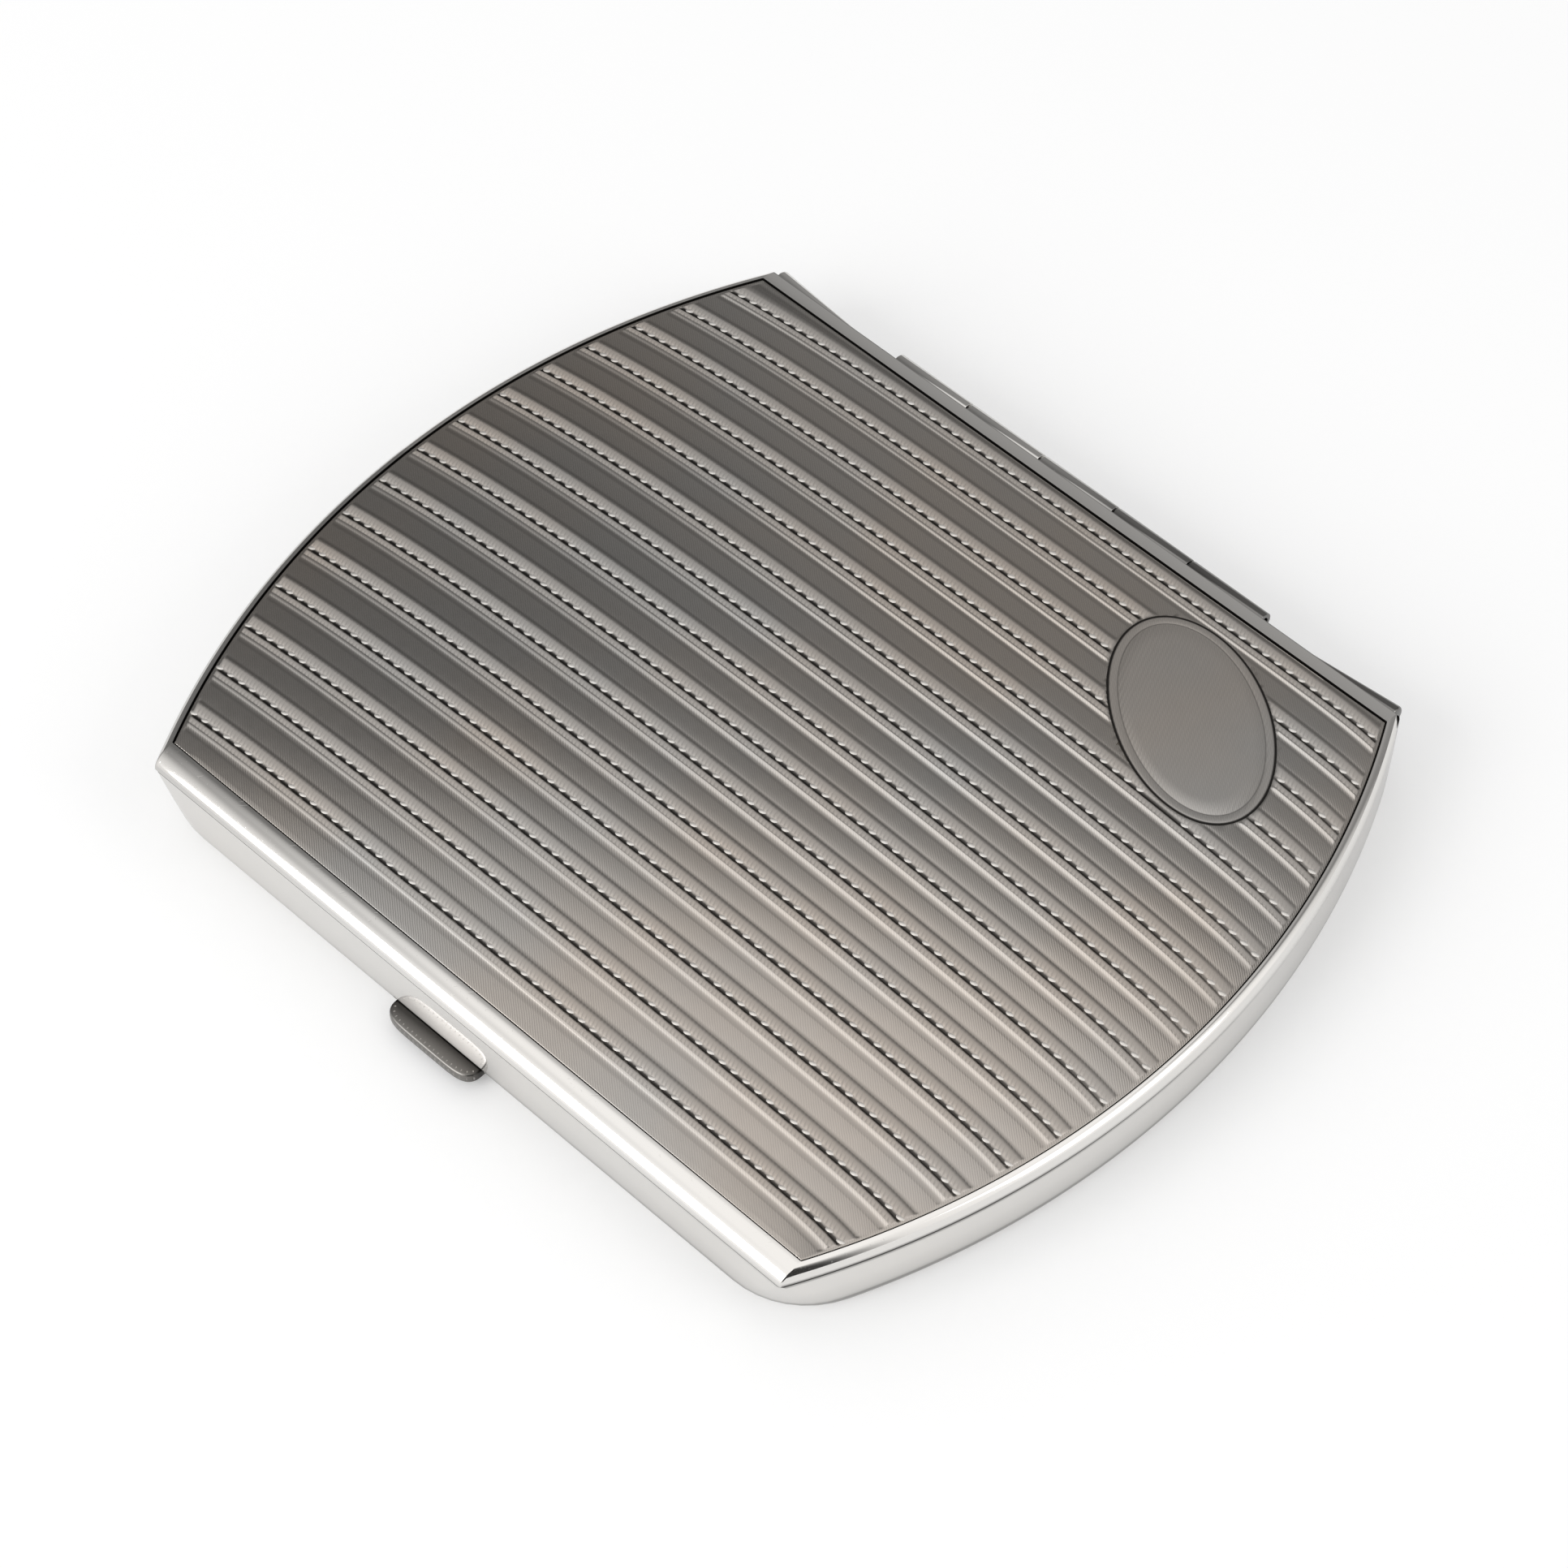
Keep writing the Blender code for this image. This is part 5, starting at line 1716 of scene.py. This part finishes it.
@dataclass
class Hinge:
    """Knuckle hinge: three knuckles on the base, two on the lid, the pin and the bearers.

    Attributes:
        pin_recess: How far the pin's ends lie inside the barrel.
    """

    finishes: Finishes
    radius: float = 1.05 * MM
    bore: float = 0.6 * MM
    gap: float = 0.2 * MM
    pin_radius: float = 0.4 * MM
    pin_recess: float = 0.1 * MM

    def build(self, axis: Vector) -> None:
        """Make the hinge.

        Args:
            axis: A point on the hinge axis.
        """
        nodes = ["base_knuckle_1", "lid_knuckle_1", "base_knuckle_2", "lid_knuckle_2", "base_knuckle_3"]
        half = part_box("base_knuckle_3")[1].x
        length = (2 * half - self.gap * (len(nodes) - 1)) / len(nodes)
        step = length + self.gap
        tree = Knuckles()
        for first, body in ((0, Body.BASE), (1, Body.LID)):
            values = {
                "Outer Radius": self.radius,
                "Bore Radius": self.bore,
                "Length": length,
                "Count": len(nodes[first::2]),
                "Start": (-half + length / 2 + first * step, axis.y, axis.z),
                "Step": (2 * step, 0.0, 0.0),
                "Material": self.finishes.silver,
            }
            knuckles = tree.grow(body.value + "_knuckles_turned", [axis], [], values)
            # Painted shade: the knuckles darken from left to right, a dark line along the back.
            mark(knuckles, "cut", np.interp(corners_of(knuckles)[:, 0], (-5 * MM, 8 * MM), (0.25, 0.85)))
            seat(knuckles, body, Slot.POLISHED, *nodes[first::2])
        reach = half - self.pin_recess
        profile = domed_rod(-reach, reach, self.pin_radius, 0.15 * MM)
        pin = turned_piece("hinge_pin_domed", profile, axis, "X", self.finishes.steel)
        seat(pin, Body.BASE, Slot.POLISHED, "hinge_pin")
        for node, body in (("base_bearer", Body.BASE), ("lid_bearer", Body.LID)):
            dress(node, "gilt", body, Slot.GILT, self.finishes.gilt, 0.06 * MM)


@dataclass
class Catch:
    """Sprung thumb-piece with its hook, the leaf spring behind it and the lid's striker.

    Attributes:
        front: Place along Y of the front wall.
        middle: Place along X of the thumb-piece.
        protrusion: How far it stands out of the wall.
        root: How far it reaches inside the wall.
        low: Its underside, above the case's underside.
        rib_radius: Half the width of its ribs.
        rib_depth: Half the length of its ribs, from the edge inwards.
        flange_inset: Inset of the near face of the flange behind the wall.
        flange_overlap: How far the flange reaches past the thumb-piece.
        stud_end: Inset of the studs' ends.
        anchored: Length of the spring's fixed end; not used.
        carried: Place of the spring's carried end, past the thumb-piece's middle; not used.
    """

    finishes: Finishes
    front: float
    middle: float = -2.4 * MM
    half_width: float = 5.2 * MM
    protrusion: float = 1.75 * MM
    root: float = 1.475 * MM
    low: float = 0.85 * MM
    thickness: float = 1.1 * MM
    edge_round: float = 0.22 * MM
    edge_inset: float = 0.08 * MM
    rib_radius: float = 0.21 * MM
    rib_depth: float = 0.42 * MM
    rib_pitch: float = 0.52 * MM
    flange_low: float = 1.2 * MM
    flange_high: float = 2.9 * MM
    flange_inset: float = 1.2 * MM
    flange_sheet: float = 0.55 * MM
    flange_overlap: float = 1.0 * MM
    stud_rise: float = 2.25 * MM
    stud_half_spacing: float = 1.5 * MM
    stud_radius: float = 0.4 * MM
    stud_end: float = 3.0 * MM
    anchored: float = 6.4 * MM
    carried: float = 2.4 * MM

    def edge(self, x: float, shrink: float) -> tuple[float, float]:
        """Point of the thumb-piece's blunt rounded front edge.

        Args:
            x: Place along it, from -1 at the left end to 1 at the right one.
            shrink: How far the edge is drawn in.

        Returns:
            The point's place along X and Y.
        """
        blunt = (1 - min(abs(x), 1) ** 6.0) ** (1 / 2.4)
        return self.middle + x * (self.half_width - shrink), self.front - (self.protrusion - shrink) * blunt

    def body(self) -> bpy.types.Object:
        """Half-moon slab with rounded edges, seen through the slot.

        Returns:
            The piece, not yet seated.
        """
        parts, turns = 72, [pi / 2 * i / 4 for i in range(5)]
        layers = [(self.edge_round * (1 - cos(t)), self.edge_round * (1 - sin(t))) for t in turns]
        layers += [(self.thickness - rise, inset) for rise, inset in reversed(layers)]
        rings = []
        for rise, inset in layers:
            shrink = inset + self.edge_inset
            half, back = self.half_width - shrink, self.front + self.root
            plan = [self.edge(-cos(pi * i / parts), shrink) for i in range(parts + 1)]
            plan += [(self.middle + half, back), (self.middle - half, back)]
            rings.append([(x, y, self.low + rise) for x, y in plan])
        piece = make_piece("thumb_piece_body", *loft(rings), [self.finishes.grip])
        y = corners_of(piece)[:, 1]
        # Painted shade: the thumb-piece darkens towards the wall, under the rolled foot.
        mark(piece, "cut", np.interp((y - y.min()) / MM, (0.25, 1.55), (0.2, 0.97)))
        return piece

    def build(self) -> None:
        """Make the catch."""
        seat(self.body(), Body.CATCH, Slot.POLISHED, "thumb_piece")
        seat(self.ribs(), Body.CATCH, Slot.POLISHED)
        self.flange()
        dress("catch_hook", "gilt", Body.CATCH, Slot.GILT, self.finishes.gilt, 0.05 * MM)
        dress("lid_striker", "gilt", Body.LID, Slot.GILT, self.finishes.gilt, 0.05 * MM)
        dress("spring_anchor", "silver", Body.BASE, Slot.POLISHED, self.finishes.silver, 0.05 * MM)
        for side in ("left", "right"):
            seat(self.rivet(side), Body.BASE, Slot.POLISHED, "spring_rivet_" + side)
        self.spring()

    def ribs(self) -> bpy.types.Object:
        """Upright ribs round the thumb-piece's front edge.

        Returns:
            The piece, not yet seated.
        """
        height, shrink = self.low + self.thickness / 2, self.rib_depth + 0.01 * MM
        places = [-cos(pi * (0.06 + 0.88 * i / 96)) for i in range(97)]
        points = [(*self.edge(x, shrink), height) for x in places]
        sizes = {"Spacing": self.rib_pitch, "Half Length": self.rib_radius, "Half Width": self.rib_depth}
        values = {**sizes, "Half Height": self.thickness / 2 + 0.03 * MM, "Material": self.finishes.ribs}
        edges = [(i, i + 1) for i in range(len(points) - 1)]
        return StrungBalls("upright_ribs", 12, 8).grow("thumb_piece_ribs", points, edges, values)

    def flange(self) -> None:
        """Make the flange behind the wall and the two studs that carry the spring and the hook."""
        half, near = self.half_width + self.flange_overlap, self.front + self.flange_inset
        high = (self.middle + half, near + self.flange_sheet, self.flange_high)
        low = (self.middle - half, near, self.flange_low)
        plate = box_piece("thumb_flange_silver", low, high, self.finishes.silver)
        round_edges(plate, 0.08 * MM, 3)
        seat(settle(plate), Body.CATCH, Slot.POLISHED)
        for side, label in ((-1, "left"), (1, "right")):
            centre = (self.middle + side * self.stud_half_spacing, self.front, self.stud_rise)
            profile = domed_rod(self.root, self.stud_end, self.stud_radius, 0.12 * MM)
            stud = turned_piece("thumb_stud_" + label, profile, centre, "Y", self.finishes.silver, 32)
            seat(stud, Body.CATCH, Slot.POLISHED)

    def rivet(self, side: str) -> bpy.types.Object:
        """Domed rivet that holds the spring to its anchor.

        Args:
            side: "left" or "right".

        Returns:
            The piece, not yet seated.
        """
        low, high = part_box("spring_rivet_" + side)
        radius, head = (high.x - low.x) / 2, 0.3 * MM
        neck = high.y - low.y - head
        profile = [(0.0, 0.43 * radius), (neck, 0.43 * radius), (neck, radius)]
        for turn in [pi / 2 * i / 5 for i in range(1, 6)]:
            profile.append((neck + head * sin(turn), max(radius * cos(turn), 0.02 * MM)))
        centre = ((low.x + high.x) / 2, low.y, (low.z + high.z) / 2)
        return turned_piece("domed_rivet_" + side, profile, centre, "Y", self.finishes.silver, 32)

    def spring(self) -> None:
        """Make the leaf spring, which runs from its anchor to the thumb-piece, with rings of points along its
        length.
        """
        low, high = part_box("catch_spring")
        stations = np.linspace(low.x, high.x, 32)[1:-1]
        leaf = refined("catch_spring", "catch_spring_leaf", self.finishes.steel, 0.05 * MM, stations)
        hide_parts("catch_spring")
        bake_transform(leaf)
        LOG.info("%s: bends between %s and %s", leaf.name, Body.BASE.value, Body.CATCH.value)


@dataclass
class ElasticHold:
    """Ribbed elastic across the base, sewn round a wire loop at each end.

    Attributes:
        wire: Radius of the loops' wire.
        wire_gap: Gap between wire and tape.
        tail: Length of the sewn tails.
        tail_gap: Gap between tail and strip.
        loop_x: Place along X of the loops' long side.
        loop_half: Half the length of a loop.
        foot_x: Place along X of the loops' feet.
        level: Height of the wire.
        stretch: How much longer the tape is than when it was cut; not used.
    """

    finishes: Finishes
    width: float = 10.0 * MM
    thickness: float = 0.7 * MM
    wire: float = 0.45 * MM
    wire_gap: float = 0.2 * MM
    tail: float = 5.2 * MM
    tail_gap: float = 0.3 * MM
    loop_x: float = 43.7 * MM
    loop_half: float = 5.75 * MM
    foot_x: float = 45.05 * MM
    level: float = 5.3 * MM
    ribs: int = 13
    rib_depth: float = 0.07 * MM
    stretch: float = 1.04

    def middle_line(self) -> list[Vector]:
        """Middle of the tape in X and Z, from one tail round both wires to the other.

        Returns:
            The line's points.
        """
        radius = self.wire + self.wire_gap + self.thickness / 2
        tail_z = radius - self.thickness - self.tail_gap
        right = [(self.loop_x - self.tail + self.tail * 0.6 * i / 4, tail_z) for i in range(5)]
        right += [(self.loop_x + radius * cos(a), radius * sin(a)) for a in np.linspace(-pi / 2, pi / 2, 21)]
        span = [(x, radius) for x in np.linspace(self.loop_x, -self.loop_x, 61)[1:-1]]
        left = [(-x, z) for x, z in reversed(right)]
        return [Vector((x, z + self.level)) for x, z in right + span + left]

    def build(self) -> None:
        """Make the loops, the tape and its stitching."""
        tree = BentWire()
        corners = [(self.foot_x, -self.loop_half), (self.loop_x, -self.loop_half)]
        corners += [(x, -y) for x, y in reversed(corners)]
        for side, label in ((-1, "left"), (1, "right")):
            points = [(side * x, side * y, self.level) for x, y in corners]
            values = {"Radius": self.wire, "Material": self.finishes.silver}
            loop = tree.grow("elastic_wire_" + label, points, [(0, 1), (1, 2), (2, 3)], values)
            seat(loop, Body.BASE, Slot.POLISHED, "elastic_loop_" + label)
        self.tape()

    def section(self) -> list[tuple[float, float]]:
        """Cross-section of the tape, with its ribs and rounded sides.

        Returns:
            Place across the tape and distance from its middle, all the way round.
        """
        samples = self.ribs * 6
        upper = []
        for share in [k / samples for k in range(samples + 1)]:
            edge = sqrt(max(1 - abs(2 * share - 1) ** 10, 0))
            rib = 0.5 + 0.5 * cos(2 * pi * self.ribs * share)
            half = (self.thickness / 2 - self.rib_depth * rib) * (0.35 + 0.65 * edge)
            upper.append((self.width * (share - 0.5), half))
        return upper + [(y, -half) for y, half in reversed(upper)]

    def tape(self) -> None:
        """Make the tape, closed all round, and the stitches at its ends."""
        line, section = self.middle_line(), self.section()
        rings, runs = [], [0.0]
        for i, here in enumerate(line):
            before, after = line[max(i - 1, 0)], line[min(i + 1, len(line) - 1)]
            runs.append(runs[-1] + ((here - before).length if i else 0.0))
            normal = Vector((-(after - before).y, (after - before).x)).normalized()
            spots = [(here + normal * out, y) for y, out in section]
            rings.append([(spot.x, y, spot.y) for spot, y in spots])
        band = make_piece("elastic_tape_woven", *loft(rings), [self.finishes.elastic])
        mark(band, "along", np.repeat(runs[1:], len(section)))
        mark(band, "across", np.tile([y for y, _ in section], len(line)))
        seat(band, Body.BASE, Slot.ELASTIC, "elastic_band")
        stitches = self.stitches()

    def stitches(self) -> bpy.types.Object:
        """Make two rows of stitches through strip and tail at each end.

        Returns:
            The stitches, seated.
        """
        top = self.level + self.wire + self.wire_gap + self.thickness - 0.05 * MM
        reach = self.width / 2 - 0.9 * MM
        rows = [side * (self.loop_x - inset) for side in (-1, 1) for inset in (1.6 * MM, 4.2 * MM)]
        points = [(x, y, top) for x in rows for y in (-reach, reach)]
        edges = [(2 * k, 2 * k + 1) for k in range(len(rows))]
        values = {
            "Spacing": 0.95 * MM,
            "Half Length": 0.36 * MM,
            "Half Width": 0.12 * MM,
            "Half Height": 0.12 * MM,
            "Material": self.finishes.thread,
        }
        threads = StrungBalls("seam_stitches", 10, 6).grow("elastic_stitches", points, edges, values)
        return seat(threads, Body.BASE, Slot.ELASTIC)


def direction(azimuth: float, elevation: float) -> Vector:
    """Unit vector at some degrees round from X and some degrees up."""
    a, e = radians(azimuth), radians(elevation)
    return Vector((cos(a) * cos(e), sin(a) * cos(e), sin(e)))


@dataclass(frozen=True)
class LightTent:
    """Dome that the polished metal mirrors: bright overhead, with walls of different shades.

    Attributes:
        radius: Radius of the dome.
        walls: Shade of the walls by direction, in degrees from X.
        overhead: Shade of the ceiling.
        wall_top: Height where the walls start to turn into the ceiling, in degrees.
        ceiling_low: Height where the ceiling is reached, in degrees.
        around: Divisions round the dome.
        up: Divisions from the horizon to the top.
        highest: Height of the topmost ring, in degrees.
    """

    radius: float = 1.6
    walls: tuple[tuple[float, float], ...] = (
        (-180, 0.22),
        (-165, 0.36),
        (-152, 0.62),
        (-138, 0.90),
        (-126, 1.05),
        (-80, 1.05),
        (-70, 0.30),
        (-60, 0.04),
        (-15, 0.04),
        (-8, 0.90),
        (0, 1.00),
        (38, 1.00),
        (50, 0.70),
        (60, 0.24),
        (100, 0.36),
        (125, 0.30),
        (150, 0.19),
        (180, 0.22),
    )
    overhead: float = 1.05
    wall_top: float = 56.0
    ceiling_low: float = 67.0
    around: int = 180
    up: int = 45
    highest: float = 89.9

    def shade(self, azimuth: float, elevation: float) -> float:
        """Brightness of the dome.

        Args:
            azimuth: Direction, in degrees from X.
            elevation: Height, in degrees.

        Returns:
            The brightness, where 1 is white.
        """
        wall = float(np.interp(azimuth, *zip(*self.walls)))
        share = min(max((elevation - self.wall_top) / (self.ceiling_low - self.wall_top), 0), 1)
        return wall + (self.overhead - wall) * share * share * (3 - 2 * share)

    def build(self) -> None:
        """Make the dome."""
        turns = [360 * i / self.around - 180 for i in range(self.around)]
        rows = [[(turn, self.highest * j / self.up) for turn in turns] for j in range(self.up + 1)]
        points, faces = loft([[direction(*way) * self.radius for way in row] for row in rows])
        mesh = plain_mesh("light_tent", points, faces=[face[::-1] for face in faces[:-2]])
        tent = link("light_tent", mesh)
        mark(tent, "shade", [self.shade(*way) for row in rows for way in row])
        material = bpy.data.materials.new("tent_cloth")
        material.use_nodes = True
        material.cycles.emission_sampling = "NONE"
        tree = Tree(material.node_tree)
        tree.data.nodes.clear()
        shade = tree.put("ShaderNodeAttribute", attribute_name="shade").outputs["Fac"]
        glow = tree.put("ShaderNodeEmission", {"Color": (1.0, 0.99, 0.98, 1.0), "Strength": shade})
        tree.put("ShaderNodeOutputMaterial", {"Surface": glow.outputs[0]})
        mesh.materials.append(material)
        tent.visible_camera = False
        tent.visible_diffuse = False
        tent.visible_shadow = False
        tent.visible_transmission = False


@dataclass(frozen=True)
class SoftBox:
    """Rectangular lamp aimed at the case.

    Attributes:
        azimuth: Direction from the case, in degrees from X.
        elevation: Height above the horizon, in degrees.
        radiance: How bright its face is, where 1 is white.
        distance: Distance from the case.
    """

    name: str
    azimuth: float
    elevation: float
    width: float
    height: float
    radiance: float
    distance: float = 0.9

    def build(self) -> None:
        """Make the lamp."""
        out = direction(self.azimuth, self.elevation)
        data = bpy.data.lights.new(self.name, "AREA")
        data.shape, data.size, data.size_y = "RECTANGLE", self.width, self.height
        data.energy = self.radiance * pi * self.width * self.height
        lamp = link(self.name, data)
        lamp.location = out * self.distance
        lamp.rotation_euler = out.to_track_quat("Z", "Y").to_euler()


@dataclass
class Studio:
    """Camera, lamps, light tent, floor and white surroundings.

    Attributes:
        azimuth: Camera's direction in degrees, from the front round to the right.
        elevation: Camera's height in degrees.
        distance: Distance from the point it looks at.
        target: That point.
        lens: Focal length for a 36 mm wide image.
        floor_gap: How far the floor lies under the case.
        room_light: Strength of the white surroundings as they light the case.
        floor_glow: How much brighter the camera sees the floor.
        floor_mirror_glow: How much brighter the metal mirrors it.
    """

    azimuth: float = 43.49
    elevation: float = 54.26
    distance: float = 395.1 * MM
    target: Point = (3.243 * MM, -3.007 * MM, 6.9 * MM)
    lens: float = 106.19
    floor_size: float = 6.0
    floor_gap: float = 0.03 * MM
    room_light: float = 0.72
    floor_glow: float = 0.14
    floor_mirror_glow: float = 0.06
    lamps: tuple[SoftBox, ...] = (
        SoftBox("key_softbox", -104.0, 32.0, 0.6, 0.6, 2.6),
        SoftBox("side_softbox", 18.0, 30.0, 0.4, 0.5, 1.3),
    )
    seen: tuple[str, ...] = ("Is Camera Ray", "Is Glossy Ray", "Is Transmission Ray")

    def camera(self) -> None:
        """Place the camera where the photograph was taken."""
        back = direction(self.azimuth - 90, self.elevation)
        right = direction(self.azimuth, 0)
        data = bpy.data.cameras.new("camera")
        data.sensor_width, data.lens = 36.0, self.lens
        data.clip_start, data.clip_end = 0.01, 20.0
        viewer = link("camera", data)
        turned = Matrix((right, back.cross(right), back)).transposed().to_4x4()
        viewer.matrix_world = Matrix.Translation(Vector(self.target) + back * self.distance) @ turned
        bpy.context.scene.camera = viewer

    def room(self) -> None:
        """Make the white surroundings, a little brighter where they are seen than where they light."""
        world = bpy.data.worlds.new("studio")
        bpy.context.scene.world = world
        world.use_nodes = True
        tree = Tree(world.node_tree)
        tree.data.nodes.clear()
        strength = tree.math("MULTIPLY_ADD", tree.rays(*self.seen), 1 - self.room_light, self.room_light)
        light = tree.put("ShaderNodeBackground", {"Color": WHITE, "Strength": strength})
        tree.put("ShaderNodeOutputWorld", {"Surface": light.outputs[0]})

    def floor(self) -> None:
        """Make the pale floor that keeps the shadows."""
        half = self.floor_size / 2
        corners = [(x * half, y * half, -self.floor_gap) for x, y in ((-1, -1), (1, -1), (1, 1), (-1, 1))]
        mesh = plain_mesh("floor", corners, faces=[(0, 1, 2, 3)])
        paper = Material("white_paper", metallic=0.0)
        settings = {
            "Base Color": (0.86, 0.86, 0.86, 1.0),
            "Roughness": 0.95,
            "Specular IOR Level": 0.1,
            "Emission Color": WHITE,
        }
        for label, value in settings.items():
            paper.feed(paper.shader[label], value)
        mirrored = paper.math("MULTIPLY", paper.rays(*self.seen), self.floor_mirror_glow)
        lift = paper.math("MULTIPLY_ADD", paper.rays("Is Camera Ray"), self.floor_glow, mirrored)
        paper.feed(paper.shader["Emission Strength"], lift)
        mesh.materials.append(paper.made)
        link("floor", mesh)

    def build(self) -> None:
        """Make the studio."""
        self.camera()
        self.room()
        self.floor()
        for lamp in self.lamps:
            lamp.build()
        LightTent().build()
        bpy.context.scene.view_settings.view_transform = "Standard"
        LOG.info("studio: %d lamps and a light tent", len(self.lamps))


def main() -> None:
    """Build the studio and every piece of the case."""
    logging.basicConfig(level=logging.INFO, format="%(name)s %(message)s")
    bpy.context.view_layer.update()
    joint = next(j for j in frame["joints"] if j["name"] == "lid_hinge")
    axis = Vector(joint["pos_m"])
    base_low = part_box("base_rim")[0]
    plan = CasePlan(half_depth=-base_low.y, half_length=-base_low.x)

    Studio().build()
    finishes = Finishes()
    beads = StrungBalls("rope_beads", 10, 5)
    Lid(plan, finishes, beads).build()
    LidFrame(plan, finishes).build(axis)
    Underside(plan, finishes, beads).build()
    BaseFrame(plan, finishes).build(axis)
    for node in ("base_lip_left", "base_lip_right"):
        dress(node, "gilt", Body.BASE, Slot.GILT, finishes.gilt, 0.08 * MM)
    Hinge(finishes).build(axis)
    Catch(finishes, front=-plan.half_depth).build()
    ElasticHold(finishes).build()


if __name__ == "__main__":
    main()
